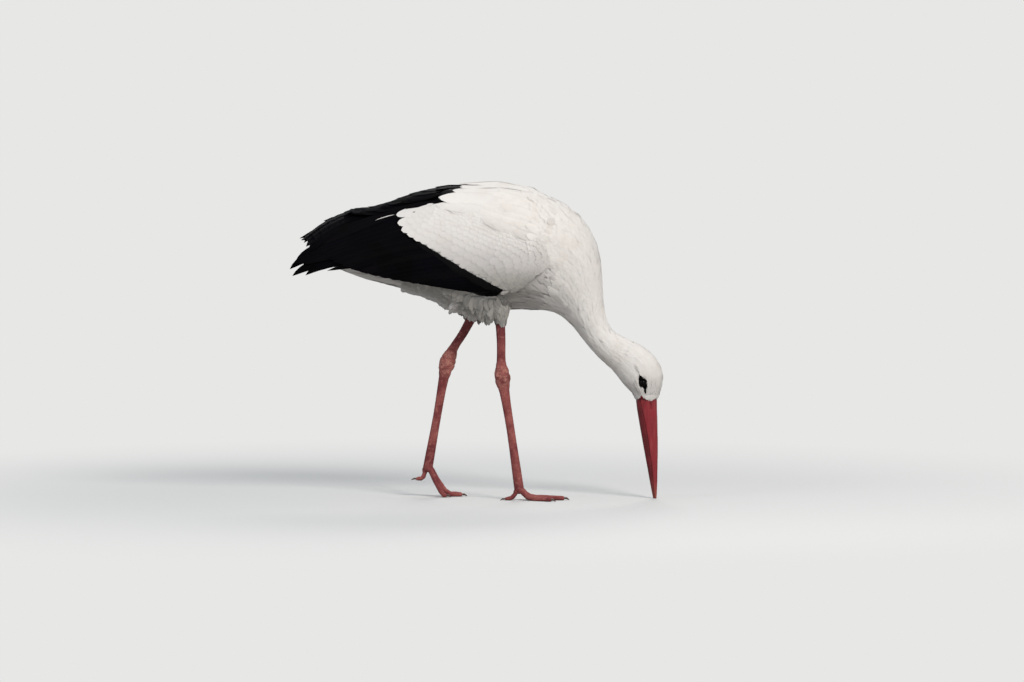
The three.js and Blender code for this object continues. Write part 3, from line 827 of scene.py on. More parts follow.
def grow(form, coat, roots, labels, length, half, depth, lift, profile, jitter, thick, camber=0.06, painted_shade=0.0,
         hang=-1.0):
    """Feathers from roots along the lie of the coat, sunk at the root and rising to the outer form at the
    tip. Their sizes are in mm, jitter is in degrees. Below the height hang they hang free of the form."""
    n, s = len(roots), coat.stations
    length, half, depth, lift = (np.broadcast_to(v, n)[:, None] * MM for v in (length, half, depth, lift))
    t = toward_tip(s)
    centre, normal = np.empty((2, n, s, 3))
    here, out = form.nearest(roots)
    turn = rng.normal(0, 1, (n, 1)) * np.radians(jitter)

    def flow(point, out):
        field = lie(point, labels)
        field = unit(field - out * (field * out).sum(1, keepdims=True))
        return unit(field * np.cos(turn) + np.cross(out, field) * np.sin(turn))

    point = here - flow(here, out) * length * ROOT_BEHIND
    for k in range(s):
        where, facing = form.nearest(point)
        held = point[:, 2:] > hang * MM
        point, out = np.where(held, where, point), np.where(held, facing, out)
        centre[:, k], normal[:, k] = point, out
        if k < s - 1:
            point = point + flow(point, out) * length * (t[k + 1] - t[k])
    normal[:, 1:-1] = unit(normal[:, :-2] + normal[:, 1:-1] * 2 + normal[:, 2:])
    centre += normal * (lift * t**2 - depth * (1 - t) ** 1.25)[..., None]
    coat.add(centre, normal, widths(profile, t, half[:, 0]), thick * MM, camber, body_map(here), painted_shade)


# node, spacing, length, half width, root depth, tip lift, thickness, all in mm
BODY_COATS = [
    ("head", 2.3, 8.0, 1.8, 0.7, 0.08, 0.20),
    ("neck_upper", 2.9, 13.0, 2.5, 0.9, 0.10, 0.20),
    ("neck_middle", 3.6, 20.0, 3.5, 1.1, 0.13, 0.22),
    ("neck_lower", 4.4, 27.0, 4.6, 1.2, 0.16, 0.24),
]


def body_feathers(form):
    """The coats of head and neck, smaller and denser at the bill; low on the throat they are looser lances."""
    for k, (node, gap, length, half, depth, lift, thick) in enumerate(BODY_COATS):
        coat = Coat("coat_" + node, "white", 6)
        spacing = np.full(len(form.co), gap)
        if node == "head":
            spacing *= np.clip(0.55 + np.linalg.norm(form.co - BILL_BASE, axis=1) / 0.06, 0.62, 1.0)
        roots, at = scattered(form, form.label == node, spacing, 11 + k)
        size = rng.uniform(0.85, 1.15, len(roots))
        painted_shade = np.zeros(len(roots))
        if node == "head":
            size *= np.clip(0.5 + np.linalg.norm(roots - BILL_BASE, axis=1) / 0.07, 0.55, 1.1)
            tips = roots + lie(roots, form.label[at]) * (length * size * MM)[:, None] * 0.55
            bare = np.any([mark(p) for mark in (face_mark, gape_mark) for p in (roots, tips)], axis=0)
            roots, at, size = roots[~bare], at[~bare], size[~bare]
            painted_shade = crease_shade(roots)
        n = len(roots)
        x, z = side_mm(roots)
        throat = np.interp(x, [190, 240, 300], [380, 300, 235])
        low = share_of(z, throat - 30, throat)
        for outline, part in ((LANCE, low > 0.5), (ROUND, low <= 0.5)):
            if part.any():
                grow(form, coat, roots[part], form.label[at][part], length * size[part],
                     half * size[part] * (1 - 0.25 * low[part]), depth * np.sqrt(size[part]),
                     (lift * rng.uniform(0.2, 1.6, n) * (1 + 2.5 * low))[part], outline, 6, thick, painted_shade=painted_shade[part])
        coat.build()


def crease_shade(points):
    """Painted shade by the creases of the face: how grey the feathers are there."""
    x, z = side_mm(points)
    out = np.zeros(len(x))
    for line in CREASES:
        for px, pz in along(line, np.linspace(0, 1, 16)):
            out = np.maximum(out, np.exp(-((x - px) ** 2 + (z - pz) ** 2) / CREASE_WIDTH**2))
    return np.where(np.abs(points[:, 1]) > CREASE_MIDDLE * MM, out * CREASE_SHADE, 0)


def eye_patch_feathers(form):
    """Tiny black feathers on the patch round each eye, clear of the eye itself."""
    coat = Coat("coat_eye_patch", "black", 5)
    x, z = side_mm(form.co)
    near = (form.label == "head") & (np.abs(x - EYE_X) < 16) & (np.abs(z - 212) < 24)
    roots, at = scattered(form, near, 1.15, 91, 1.0)
    x, z = side_mm(roots)
    keep = (face_mark(roots) > 0) & (np.hypot(x - EYE_X, z - EYE_Z) > EYE_CLEAR)
    roots, at = roots[keep], at[keep]
    grow(form, coat, roots, form.label[at], 3.2 * rng.uniform(0.8, 1.1, len(roots)), 0.65, 0.5, 0.05, LANCE, 10,
         0.2, 0.05)
    coat.build()


def face_border_feathers():
    """The feather lobes that run out over the base of the bill, in rows up from its lowest border."""
    coat = Coat("coat_bill_base", "white", 6)
    verts, faces, _ = node_polygons(["bill_upper", "bill_lower", "head"])
    tree = BVHTree.FromPolygons(verts, faces)
    centre, normal = [], []
    for row in range(BORDER_ROWS):
        for turn in np.arange(0, 360, BORDER_TURN) + (row % 2) * BORDER_TURN / 2:
            a = math.radians(turn + rng.normal(0, 0.8))
            z0 = BORDER_LOWEST + row * BORDER_STEP + rng.normal(0, 0.15)
            aim = Vector((-math.cos(a), -math.sin(a), 0))
            line = []
            for k in range(coat.stations):
                middle = Vector((BILL_MIDDLE * MM + SHIFT, 0, (z0 + k * 1.15) * MM))
                line.append(tuple(tree.ray_cast(middle - aim * 0.06, aim)[0] or middle))
            if z0 >= np.interp((line[0][0] - SHIFT) / MM, *zip(*FACE_BORDER)):
                centre.append(line)
                normal.append([tuple(-aim)] * coat.stations)
    centre, normal = np.array(centre), np.array(normal)
    centre[..., :2] = averaged_line(centre[..., :2])
    t = np.linspace(0, 1, coat.stations)
    centre = centre + normal * ((0.12 + 0.35 * t) * MM)[None, :, None]
    x, y, z = centre[:, 0].T
    angle = np.arctan2(y, x - BILL_MIDDLE * MM - SHIFT)
    uv = np.stack([(angle + math.pi) / (2 * math.pi), (z - 0.175) / 0.03], 1)
    # The lobes are greyed a little with painted shade.
    coat.add(centre, normal, widths(ROUND, t, np.full(len(centre), 1.25 * MM)), 0.25 * MM, 0.1, uv, 0.6)
    coat.build()


def trunk_feathers(form):
    """The coats of breast, belly and back, greyed low at the sides with painted shade, with loose lances low on the
    breast.
    """
    x, z = side_mm(form.co)
    spacing = np.interp(x, [-270, -100, 60, 160, 230], [10, 9, 7.6, 6.2, 5.0])
    trunk = form.label == "trunk"
    between = trunk | ((np.abs(form.co[:, 1]) < 38 * MM) & (form.normals[:, 2] > 0.6))
    regions = {"breast": trunk & (x > 95), "belly": trunk & (x <= 95) & (z < 470),
               "back": between & (x <= 95) & (x > 4) & (z >= 470)}
    for k, (name, mask) in enumerate(regions.items()):
        coat = Coat("coat_" + name, "white", 7)
        roots, at = scattered(form, mask, spacing, 31 + k)
        size = spacing[at] * rng.uniform(0.85, 1.15, len(roots))
        loose = 0.8 if name == "belly" else 0.20
        x, z = side_mm(roots)
        streaky = share_of(z, 390, 450) * (name == "breast")
        # Painted shade: darker low down and towards the rear, a little less along the middle underneath.
        painted_shade = (share_of(z, 380, 450) * share_of(roots[:, 0], 0.135, 0.235)
                * np.interp(x, [-150, 20, 100, 170], [1.8, 1.75, 1.75, 1.1])
                * np.interp(np.abs(roots[:, 1]), [0.015, 0.050], [0.65, 1.0]))
        for shape, part in ((LANCE, streaky > 0.4), (ROUND, streaky <= 0.4)):
            m = part.sum()
            grow(form, coat, roots[part], np.full(m, "trunk"), 4.9 * size[part],
                 1.08 * size[part] * (1 - 0.22 * streaky[part]), 1.2,
                 loose * rng.uniform(0.2, 1.7, m) * (1 + 2 * streaky[part]), shape, 6, 0.26, painted_shade=painted_shade[part])
        coat.build()


RUMP_QUILLS = 8


def saddle_feathers(form):
    """Black feathers where the folded wings meet over the back, and the quills below them over the tail."""
    x, z = side_mm(form.co)
    y = np.abs(form.co[:, 1]) / MM
    mask = (x < 0) & (x > -176) & (z > 500) & (y < np.where(x > -56, 26, 48)) & (form.normals[:, 2] > 0.35)
    coat = Coat("coat_saddle", "black", 9, BROAD_PATCH)
    roots, _ = scattered(form, mask, 13.0, 61, 1.0)
    n = len(roots)
    grow(form, coat, roots, np.full(n, "trunk"), 74 * rng.uniform(0.85, 1.1, n), 11.5, 2.4,
         rng.uniform(2.0, 2.8, n), QUILL, 3, 0.6)
    y = np.linspace(-44, 44, RUMP_QUILLS)[:, None]
    t = toward_tip(coat.stations)[None]
    x = bend(-165, -262, -325 + 0.35 * np.abs(y), t)
    z = bend(540, 543, 478, t) - 0.0095 * y**2
    normal = unit(np.stack(np.broadcast_arrays(-0.35 * t, y / 60, np.ones_like(x)), -1))
    uv = np.column_stack([np.full(RUMP_QUILLS, 0.08), (y[:, 0] + 60) / 120])
    half = widths(QUILL, t[0], np.full(RUMP_QUILLS, 13 * MM))
    coat.add(place(x, y * (1 - 0.1 * t), z), normal, half, 0.8 * MM, 0.06, uv)
    coat.build()


# How far the loose feathers hang, in mm, from rear to front: (x, reach).
SKIRT_REACH = [(-130, 5), (-95, 3), (-70, 4), (-48, 8), (-15, 11), (5, 15), (38, 12), (52, 4)]
TUFT_X, TUFT_WIDTH = -27, 5


def skirt_feathers(form):
    """Loose soft feathers that hang from the belly between and behind the thighs, longest in a small tuft."""
    x, z = side_mm(form.co)
    low = (form.label == "trunk") | (np.char.startswith(form.label, "thigh") & (z > 342))
    mask = low & (x > -130) & (x < 52) & (form.normals[:, 2] < -0.35)
    coat = Coat("coat_skirt", "white", 7, tilt=0.06)
    roots, _ = scattered(form, mask, 4.0, 66)
    n = len(roots)
    t = toward_tip(coat.stations)
    x, z = side_mm(roots)
    aside = np.abs(roots[:, 1]) / MM
    reach = np.interp(x, *zip(*SKIRT_REACH)) * MM * rng.uniform(0.75, 1.1, n)
    tuft = np.exp(-(((x - TUFT_X) / TUFT_WIDTH) ** 2)) * (aside > 12) * share_of(z, 368, 380)
    start = unit(np.array([-1.0, 0, -0.10]) + rng.normal(0, 0.05, (n, 3)))
    steep = np.interp(x, [-20, 5], [0, 1])[:, None]
    drop = np.array([-0.80, 0, -0.60]) * (1 - steep) + np.array([-0.35, 0, -0.94]) * steep
    drop = unit(drop + rng.normal(0, 0.06, (n, 3)))
    line = start[:, None] * t[:, None] + (drop - start)[:, None] * t[:, None] ** 2
    centre = roots[:, None] + line * (reach * (1 + 0.5 * tuft) * 1.8)[:, None, None]
    centre[..., 2] += 0.002 * (1 - t)
    outward = np.sign(roots[:, 1] + 0.004)[:, None] * np.array([0, 0.8, 0])
    normal = unit(form.nearest(roots)[1] + outward + rng.normal(0, 0.08, (n, 3)))[:, None]
    half = 5.4 * MM * rng.uniform(0.8, 1.2, n)
    # Painted shade on the hanging feathers: deeper towards the sides, lighter in the tuft.
    coat.add(centre, normal, widths(ROUND, t, half), 0.28 * MM, 0.10, body_map(roots),
             np.interp(aside, [20, 45], [0.8, 1.9]) * (1 - 0.6 * tuft))
    coat.build()


def shoulder_feathers(form):
    """Small feathers that carry the breast's coat over the front of each folded wing."""
    x, z = side_mm(form.co)
    for k, side in enumerate(SIDES):
        mask = (form.label == "wing_" + side + "_coverts") & (x > 60) & ((x > 112) | (z > 480))
        coat = Coat("coat_shoulder_" + side, "white", 7)
        roots, _ = scattered(form, mask, 6.4, 41 + k)
        n = len(roots)
        size = rng.uniform(0.85, 1.15, n)
        ruffled = np.exp(-(((side_mm(roots)[0] - 138) / 24) ** 2))
        grow(form, coat, roots, np.full(n, "trunk"), 27 * size, 6.4 * size, 1.2,
             rng.uniform(0.1, 0.5, n) + 1.6 * ruffled, ROUND, 6, 0.26)
        coat.build()


def thigh_feathers(form):
    """The trousers of each leg, whose lowest feathers hang free over the shin."""
    spacing = np.interp(form.co[:, 2], [0.32, 0.40], [3.4, 5.4])
    for k, side in enumerate(SIDES):
        coat = Coat("coat_thigh_" + side, "white", 6)
        roots, at = scattered(form, form.label == "thigh_" + side, spacing, 51 + k)
        end = THIGH_LINES[side][1][2]
        above = roots[:, 2] > (end + 8) * MM
        roots, at = roots[above], at[above]
        n = len(roots)
        size = spacing[at] * rng.uniform(0.85, 1.15, n)
        # The trousers are greyed all over with painted shade.
        grow(form, coat, roots, form.label[at], 4.2 * size, 1.1 * size, 1.5, 0.35 * rng.uniform(0.0, 1.8, n),
             LANCE, 8, 0.26, painted_shade=1.85, hang=end + 7)
        coat.build()


# ---- wings
def wing_half_width(x, z):
    """How far the folded wing's outer form lies from the middle plane, for side-view places in mm."""
    form_x, *form = WING_FORM.T
    middle, deep, wide = (np.interp(x, form_x, v) for v in form)
    ratio = np.clip((z - middle) / deep, -0.97, 0.985)
    return wide * (1 - np.abs(ratio) ** WING_POWER) ** (1 / WING_POWER)


def wing_points(side, xz):
    """(..., 2) side-view places in mm to places and outward directions in the frame."""
    x, z = xz[..., 0], xz[..., 1]
    e = 3.0
    slope_x, slope_z = ((wing_half_width(x + a, z + b) - wing_half_width(x - a, z - b)) / (2 * e)
                        for a, b in ((e, 0), (0, e)))
    normal = unit(np.stack([-slope_x, np.full_like(x, SIDES[side]), -np.clip(slope_z, -6, 6)], -1))
    return place(x, wing_half_width(x, z) * SIDES[side], z), normal


def wing_vanes(coat, side, line, t, half, profile, sink, rise, thick, camber, painted_shade=0.0, form=None):
    """Vanes along side-view lines, (n, stations, 2), over the wing's outer form: sunk at the root and raised
    at the tip, all in mm. With a form of the body, their fore parts lie on that instead."""
    centre, normal = wing_points(side, line)
    if form:
        where, out = form.nearest(centre.reshape(-1, 3))
        fore = np.clip((line[..., 0] + 175) / 35, 0, 1)[..., None]
        centre = centre + (where.reshape(centre.shape) - centre) * fore
        normal = unit(normal + (out.reshape(centre.shape) - normal) * fore)
    sink, rise = (np.broadcast_to(v, len(line))[:, None] for v in (sink, rise))
    centre += normal * ((-sink + (sink + rise) * t ** 1.1) * MM)[..., None]
    coat.add(centre, normal, widths(profile, t, np.broadcast_to(half, len(line)) * MM), thick * MM, camber,
             wing_map(*line[:, 0].T), painted_shade)


def arched(root, tip, bow, t):
    """Side-view lines from root to tip, (n, 2) each, whose middle lies bow above the straight line."""
    run = tip - root
    up = unit(np.stack([run[:, 1], -run[:, 0]], 1))
    return bend(root[:, None], ((root + tip) / 2 + up * 2 * bow)[:, None], tip[:, None], t[:, None])


# share of the way from the covert edge to the start, length, half width
COVERT_ROWS = [(0.0, 74, 11.0), (0.15, 60, 10.5), (0.29, 48, 9.5), (0.41, 38, 8.6), (0.52, 32, 7.8), (0.62, 27, 7.0),
               (0.71, 24, 6.4), (0.79, 21, 5.9), (0.86, 19, 5.4), (0.93, 17, 5.0), (0.99, 15, 4.6)]
# Painted shade on the coverts, deeper towards the wing's lower edge, by the height of their tips.
COVERT_SHADE = [(400, 1.8), (415, 1.65), (430, 1.35), (448, 0.9), (467, 0.5), (490, 0.25), (520, 0.12)]
COVERT_SLOPE, COVERT_LOW, COVERT_STEP = 1.2, -1.1, 0.25
COVERT_APART = 1.18     # gap between neighbours in a row, in half widths


def covert_feathers(side):
    """Rows of coverts, each over the one below it, from the greater coverts up to the shoulder."""
    coat = Coat("coat_coverts_" + side, "white", 9, BROAD_PATCH)
    t = toward_tip(coat.stations)

    def row_at(share, u):
        return along(COVERT_EDGE, u) * (1 - share) + along(COVERT_START, u) * share

    for k, (share, length, half) in enumerate(COVERT_ROWS):
        run = np.linalg.norm(np.diff(row_at(share, np.linspace(0, 1, 60)), axis=0), axis=1).sum()
        n = max(int(run / (half * COVERT_APART)), 4)
        u = (np.arange(n) + (0.88 if k % 2 else 0.42)) / n if k else np.linspace(0.02, 1, n)
        tip = row_at(share, u) + rng.normal(0, 0.8, (n, 2))
        slope = np.radians(np.interp(tip[:, 0], [-140, -40, 60, 140], [16, 21, 29, 36]) + rng.normal(0, 2.0, n))
        root = tip + np.stack([np.cos(slope), np.sin(slope)], 1) * (length * rng.uniform(0.94, 1.06, n))[:, None]
        rise = COVERT_LOW + COVERT_STEP * k
        higher_rear = np.linspace(0, 0.35, n) + rng.uniform(-0.05, 0.05, n)
        wing_vanes(coat, side, arched(root, tip, -1.5, t), t, half * rng.uniform(0.93, 1.07, n), ROUND,
                   COVERT_SLOPE - rise, rise + higher_rear, 0.40, 0.06, np.interp(tip[:, 1], *zip(*COVERT_SHADE)))
    coat.build()


# Where each lane of scapulars ends, x in mm, from the fold up to the ridge.
SCAPULAR_TIPS = [-60, -52, -54, -52, -50, -48, -46, -42]
# Lanes over the ridge of the back: distance from the middle, x of the last tip, in mm.
RIDGE_LANES = [(27, -2), (15, -20), (3, -41)]
# The last scapulars, broad and rounded, over the others: root x, z, tip x, z, half width, height.
SCAPULAR_ENDS = [(40, 538, -66, 545.5, 10.5, 2.6), (70, 558, -69, 560, 15.5, 3.6)]
SCAPULAR_LENGTH, SCAPULAR_STEP, SCAPULAR_HALF, SCAPULAR_FRONT = 76, 21.0, 10.5, 178
RIDGE_FRONT = 130


def scapular_feathers(form, side):
    """Lanes of broad feathers over the shoulder and the ridge of the back, raised towards the breast."""
    coat = Coat("coat_scapulars_" + side, "white", 10, BROAD_PATCH, tilt=0.20)
    form_x, form_z, form_deep, _ = WING_FORM.T
    t = toward_tip(coat.stations)

    def add(x, z, height, y=None, half=SCAPULAR_HALF, camber=0.10):
        if y is None:
            middle, across = wing_points(side, np.stack([x, z], -1))[0], wing_map(x[0], z[0])[1]
        else:
            middle, across = place(x, y * SIDES[side], z), 0.9 + y / 400
        where, out = form.nearest(middle)
        normal = unit(averaged_line(out[None]))
        centre = averaged_line(where[None]) + normal * (height * MM)[None, :, None]
        uv = np.array([[wing_map(x[0], z[0])[0], across]])
        coat.add(centre, normal, widths(ROUND, t, np.array([half * MM])), 0.45 * MM, camber, uv)

    def sunk(depth, share):
        """The root's dip under the feathers before it."""
        return depth * share_of(t, 0, share) ** 2

    for lane, end in enumerate(SCAPULAR_TIPS):
        share = lane / (len(SCAPULAR_TIPS) - 1)
        for x0 in np.arange(end + 78, SCAPULAR_FRONT, SCAPULAR_STEP)[::-1] + (lane % 2) * 9:
            x = x0 - (SCAPULAR_LENGTH + rng.normal(0, 3)) * t
            low = np.interp(x, *zip(*SCAPULAR_FOLD)) + 5
            top = np.interp(x, form_x, form_z) + np.interp(x, form_x, form_deep) * 0.965
            front = np.clip((165 - 18 * share**2 - x) / 80, 0, 1)
            height = -0.8 + front * (2.0 - 0.7 * share + (1.3 - 0.4 * share) * t) - sunk(4, 0.3)
            add(x, low + (top - low) * share ** 0.8, height + rng.normal(0, 0.08), camber=0.07 + 0.15 * share)
    for y, end in RIDGE_LANES:
        for x0 in np.arange(end + 78, RIDGE_FRONT, SCAPULAR_STEP)[::-1]:
            x = x0 - (SCAPULAR_LENGTH + rng.normal(0, 2)) * t
            height = -1.0 + np.clip((92 - x) / 75, 0, 1) * (2.3 + 0.9 * t) - sunk(4, 0.3)
            add(x, np.interp(x, form_x, form_z + form_deep) + 6, height, y)
    for x0, z0, x1, z1, half, lift in SCAPULAR_ENDS:
        add(x0 + (x1 - x0) * t, z0 + (z1 - z0) * t, lift - sunk(6, 0.35), None, half, 0.13)
    coat.build()


# Black flight feathers, in side-view mm: (root x, root z, middle x, middle z, tip x, tip z, half width)
TERTIALS = {
    "right": [(-38, 508, -180, 496, -332, 438, 13), (-34, 520, -178, 507, -336, 438, 12),
              (-30, 531, -175, 517, -332, 446, 12), (-28, 541, -172, 526, -323, 455, 12),
              (-26, 551, -168, 536, -311, 464, 12), (-24, 560, -162, 546, -294, 474, 11)],
    "left": [(-38, 508, -180, 497, -322, 440, 13), (-34, 520, -178, 511, -316, 450, 13),
             (-30, 532, -174, 524, -306, 462, 13), (-28, 544, -172, 534, -296, 471, 13),
             (-28, 560, -186, 538, -316, 487, 14), (-28, 552, -200, 522, -324, 478, 15),
             (-28, 556, -198, 540, -327, 481, 17), (-24, 566, -176, 530, -282, 514, 14)],
}
PRIMARIES = {
    "right": [(-60, 434, -190, 452, -277, 422.5, 6.5), (-60, 434, -270, 468, -317, 411, 9),
              (-60, 444, -285, 474, -341, 409.5, 11), (-60, 458, -292, 492, -346.5, 425.5, 12),
              (-60, 472, -285, 502, -336, 441, 11)],
    "left": [(-60, 434, -190, 450, -270, 426, 6.5), (-60, 434, -262, 462, -311, 423, 9),
             (-60, 444, -270, 474, -323, 428, 11), (-60, 458, -276, 490, -330, 438, 12),
             (-60, 472, -268, 500, -318, 449, 11)],
}
SECONDARY_ROOTS = [(64, 396), (44, 410), (10, 434), (-24, 462), (-50, 492), (-60, 516)]
SECONDARY_TIPS = [(-62, 397), (-130, 407), (-190, 417), (-236, 430), (-270, 444), (-296, 456)]
SECONDARIES = 15


def flight_feathers(form, side):
    """Primaries, then secondaries over them, then tertials over both."""
    coat = Coat("flight_" + side, "black", 18, FLIGHT_PATCH, ["wing_" + side + "_primaries"])
    t = np.linspace(0, 1, coat.stations)

    def curved(rows, *more, **on):
        rows = np.array(rows, float)
        line = bend(*(rows[:, None, k:k + 2] for k in (0, 2, 4)), t[:, None])
        wing_vanes(coat, side, line, t, rows[:, 6], *more, **on)

    rank = np.arange(len(PRIMARIES[side]))
    curved(PRIMARIES[side], POINTED, 8.6 - 0.3 * rank, -7.4 + 0.5 * rank, 1.0, 0.08)
    u = np.linspace(0, 1, SECONDARIES)
    root, tip = along(SECONDARY_ROOTS, u), along(SECONDARY_TIPS, u)
    middle = (root + tip) / 2 + np.stack([-12 * u, np.interp(u, [0, 0.25, 0.6, 1], [-13, -5, 8, 20])], 1)
    half = np.interp(u, [0, 0.15, 0.4, 1], [7, 10, 13, 14])
    curved(np.column_stack([root, middle, tip, half]), QUILL, 6.2 - 0.5 * u, -5.2 + 2.6 * u, 0.9, 0.06)
    rank = np.arange(len(TERTIALS[side]))
    curved(TERTIALS[side], QUILL, 5.2 - 0.45 * rank, -2.4 + 0.45 * rank, 0.9, 0.08, form=form)
    coat.build()


SLIVER_ROOT, SLIVER_TIP = np.array([(-149.0, 530.5)]), np.array([(-186.0, 518.5)])


def sliver_feather(side):
    """One white covert that lies out over the black feathers."""
    coat = Coat("coat_sliver_" + side, "white", 8, BROAD_PATCH)
    t = toward_tip(coat.stations)
    wing_vanes(coat, side, arched(SLIVER_ROOT, SLIVER_TIP, 1.0, t), t, 1.0, LANCE, 0.5, 0.8, 0.8, 0.05)
    coat.build()


# ---- tail
TAIL_QUILLS = 12
TAIL_ROOT, TAIL_TIP, TAIL_SIDE = 15, 6, 14    # quills begin before the solid's front, end before its rear and sides
TAIL_ROOTS_WIDE = 10


def tail_feathers(form):
    """A fan of quills, and the coverts over and under their roots."""
    coat = Coat("coat_tail", "white", 12, TAIL_PATCH)
    low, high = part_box("tail")
    share = ((np.arange(TAIL_QUILLS) - (TAIL_QUILLS - 1) / 2) / (TAIL_QUILLS / 2))[:, None]
    t = np.linspace(0, 1, coat.stations)
    front = high.x + TAIL_ROOT * MM
    rear = low.x + (TAIL_TIP + 12 * share**2) * MM
    wide = TAIL_ROOTS_WIDE * MM + (high.y - (TAIL_SIDE + TAIL_ROOTS_WIDE) * MM) * t**0.7
    z = (low.z + high.z) / 2 + (10 - 6 * np.abs(share) - 13 * t) * MM
    centre = np.stack([front + (rear - front) * t, share * wide, z], -1)
    normal = unit(np.stack(np.broadcast_arrays(0.0, share * 0.35, np.ones_like(z)), -1))
    uv = np.column_stack([0.5 + 0.3 * share, np.full(TAIL_QUILLS, 0.5)])
    # The quills are greyed with painted shade.
    coat.add(centre, normal, widths(QUILL, t, np.full(TAIL_QUILLS, 12.5 * MM)), 1.0 * MM, 0.06, uv, 0.8)
    coat.build()
    fringe = Coat("coat_tail_coverts", "white", 7)
    roots, at = scattered(form, (form.label == "tail") & (form.co[:, 0] > low.x + 18 * MM), 7.5, 71)
    n = len(roots)
    reach = 34 * np.clip((roots[:, 0] - low.x) / (50 * MM), 0.32, 1)
    # The tail coverts are greyed with painted shade too.
    grow(form, fringe, roots, form.label[at], reach * rng.uniform(0.8, 1.15, n), 5.5, 1.2,
         0.6 * rng.uniform(0, 1.5, n), ROUND, 7, 0.7, 0.12, 0.8)
    fringe.build()


# ---- hard parts
def refined(name, node, voxel, passes, material):
    """A smooth fine version of a faceted solid."""
    co, edges, quads = remeshed([node], voxel * COARSER)
    add_object(name, smooth_mesh(name, smoothed(co, edges, passes), quads, material), [node])


def mouth_shadow():
    """A dark core inside the closed bill, as painted shade seen only along the line between its halves."""
    co, edges, quads = remeshed(["bill_upper", "bill_lower"], 1.2)
    co = smoothed(co, edges, 2)
    inset = np.interp(co[:, 2], [0, 0.06, 0.14], [0.6, 1.2, 2.2]) * MM
    co = co - vertex_normals(co, quads) * inset[:, None]
    n = Nodes("mouth")
    material = n.finish(n.mix(n.noise(n.position(), 200.0), *MOUTH_SHADE), 0.7)
    add_object("mouth_shadow", smooth_mesh("mouth_shadow", co, quads, material))


EYE_RINGS, EYE_TURNS = 24, 36
CORNEA_BULGE, CORNEA_ANGLE = 0.055, 0.55


def eye(side):
    """A ball with a slightly bulging front, in rings round an axis that points out and a little forward."""
    low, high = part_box("eye_" + side)
    centre = (low + high) / 2
    radius = (high.x - low.x) / 2
    axis = Vector((0.18, SIDES[side], 0.05)).normalized()
    e1 = axis.cross(Vector((0, 0, 1))).normalized()
    e2 = axis.cross(e1)
    verts, faces = [], []
    for i in range(1, EYE_RINGS):
        a = math.pi * i / EYE_RINGS
        bulge = 1 + CORNEA_BULGE * math.exp(-((a / CORNEA_ANGLE) ** 4))
        for j in range(EYE_TURNS):
            b = 2 * math.pi * j / EYE_TURNS
            v = axis * math.cos(a) + (e1 * math.cos(b) + e2 * math.sin(b)) * math.sin(a)
            verts.append(centre + v * radius * bulge)
    verts += [centre + axis * radius * (1 + CORNEA_BULGE), centre - axis * radius]
    front, back = len(verts) - 2, len(verts) - 1
    last = (EYE_RINGS - 2) * EYE_TURNS
    for j in range(EYE_TURNS):
        k = (j + 1) % EYE_TURNS
        faces += [(i + j, i + j + EYE_TURNS, i + k + EYE_TURNS, i + k) for i in range(0, last, EYE_TURNS)]
        faces += [(front, j, k), (back, last + k, last + j)]
    mesh = smooth_mesh("eyeball_" + side, verts, faces, eye_material(centre, axis))
    add_object("eyeball_" + side, mesh, ["eye_" + side])


# ---- floor and light
FLOOR_HALF = 60
GLOW_FROM, GLOW_FULL = 0.45, 1.5


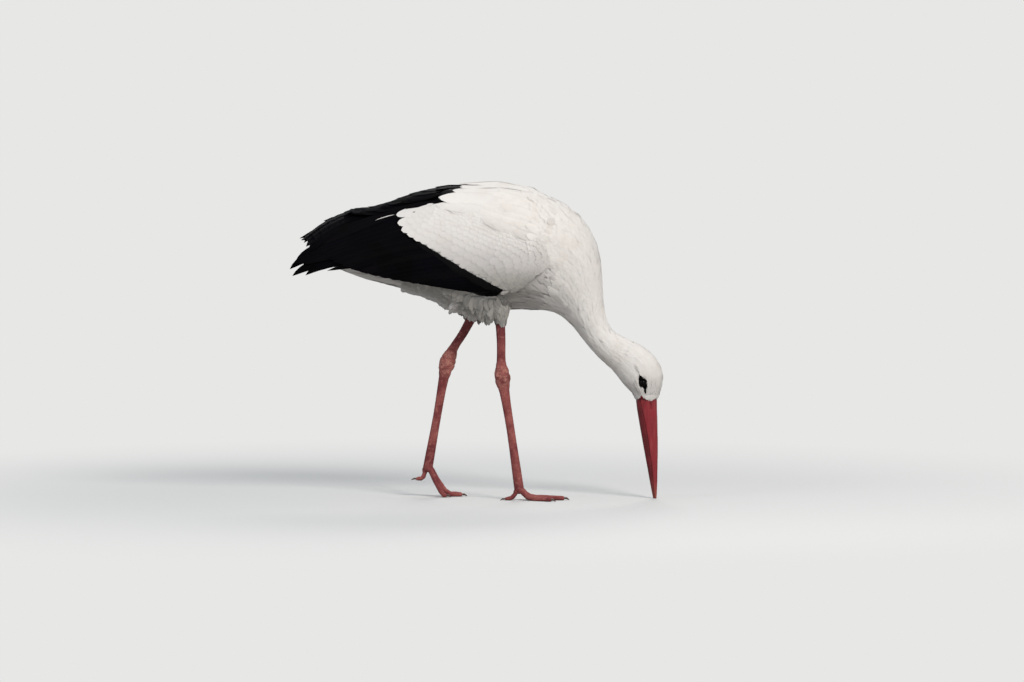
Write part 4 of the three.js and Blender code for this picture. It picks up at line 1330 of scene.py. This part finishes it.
def make_stage():
    """A paper floor that fades into the background away from the stork."""
    n = Nodes("floor")
    pos = n.position()
    ray = n.node("ShaderNodeLightPath").outputs
    paper = n.mix(ray["Is Camera Ray"], PAPER_BOUNCE, n.mix(n.noise(pos, 1.2), *PAPER))
    n.finish(paper, 0.9, n.bump(n.noise(pos, 90.0), 0.0004, 0.2))
    glow = n.node("ShaderNodeEmission", {"Color": (*BACKGROUND, 1.0), "Strength": 1.0}).outputs[0]
    seen = n.math("MAXIMUM", ray["Is Camera Ray"], n.math("MAXIMUM", ray["Is Glossy Ray"], ray["Is Transmission Ray"]))
    away = n.vector_math("LENGTH", pos, output="Value")
    share = n.times(seen, n.ramp(away, (GLOW_FROM, GLOW_FULL, 0.0, 1.0)))
    both = n.node("ShaderNodeMixShader", {0: share, 1: n.bsdf.outputs[0], 2: glow}).outputs[0]
    n.link(both, n.tree.nodes["Material Output"].inputs["Surface"])
    mesh = bpy.data.meshes.new("floor")
    corners = [(-1, -1), (1, -1), (1, 1), (-1, 1)]
    mesh.from_pydata([(x * FLOOR_HALF, y * FLOOR_HALF, 0) for x, y in corners], [], [(0, 1, 2, 3)])
    mesh.materials.append(n.material)
    floor = bpy.data.objects.new("floor", mesh)
    bpy.context.scene.collection.objects.link(floor)


# name, place, aim, size in m, power in W, colour
LAMPS = [
    ("key", (1.9, -2.7, 2.6), (0, 0, 0.35), 1.6, 112, (1.0, 0.97, 0.92)),
    ("fill", (-2.6, -2.1, 1.9), (0, 0, 0.35), 2.2, 26, (0.93, 0.96, 1.0)),
    ("back", (0.4, 2.8, 2.6), (0, 0, 0.4), 1.8, 34, (1.0, 0.98, 0.95)),
]
SKY_STRENGTH = 0.42


def make_light():
    world = bpy.data.worlds.new("world")
    bpy.context.scene.world = world
    world.use_nodes = True
    background = world.node_tree.nodes["Background"]
    background.inputs["Color"].default_value = SKY
    background.inputs["Strength"].default_value = SKY_STRENGTH
    for name, place_at, aim, size, power, color in LAMPS:
        data = bpy.data.lights.new(name, "AREA")
        data.shape = "DISK"
        data.size = size
        data.energy = power
        data.color = color
        ob = bpy.data.objects.new(name, data)
        ob.location = place_at
        ob.rotation_euler = (Vector(aim) - Vector(place_at)).to_track_quat("-Z", "Y").to_euler()
        bpy.context.scene.collection.objects.link(ob)


# ---- build
make_camera()
bpy.context.scene.view_settings.view_transform = "Standard"
form = Form()
FEATHER = {"white": white_feather_material(), "black": black_feather_material()}
build_skin(form, skin_material())
refined("bill_top", "bill_upper", 0.8, 4, bill_material("bill_upper_red", False))
refined("bill_under", "bill_lower", 0.8, 4, bill_material("bill_lower_red", True))
horn = horn_material()
for claw in [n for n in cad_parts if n.startswith("claw")]:
    refined(claw.replace("claw", "nail"), claw, 0.5, 3, horn)
for side in SIDES:
    eye(side)
mouth_shadow()
body_feathers(form)
face_border_feathers()
eye_patch_feathers(form)
trunk_feathers(form)
saddle_feathers(form)
skirt_feathers(form)
shoulder_feathers(form)
thigh_feathers(form)
tail_feathers(form)
for side in SIDES:
    flight_feathers(form, side)
    covert_feathers(side)
    scapular_feathers(form, side)
    sliver_feather(side)
make_stage()
make_light()
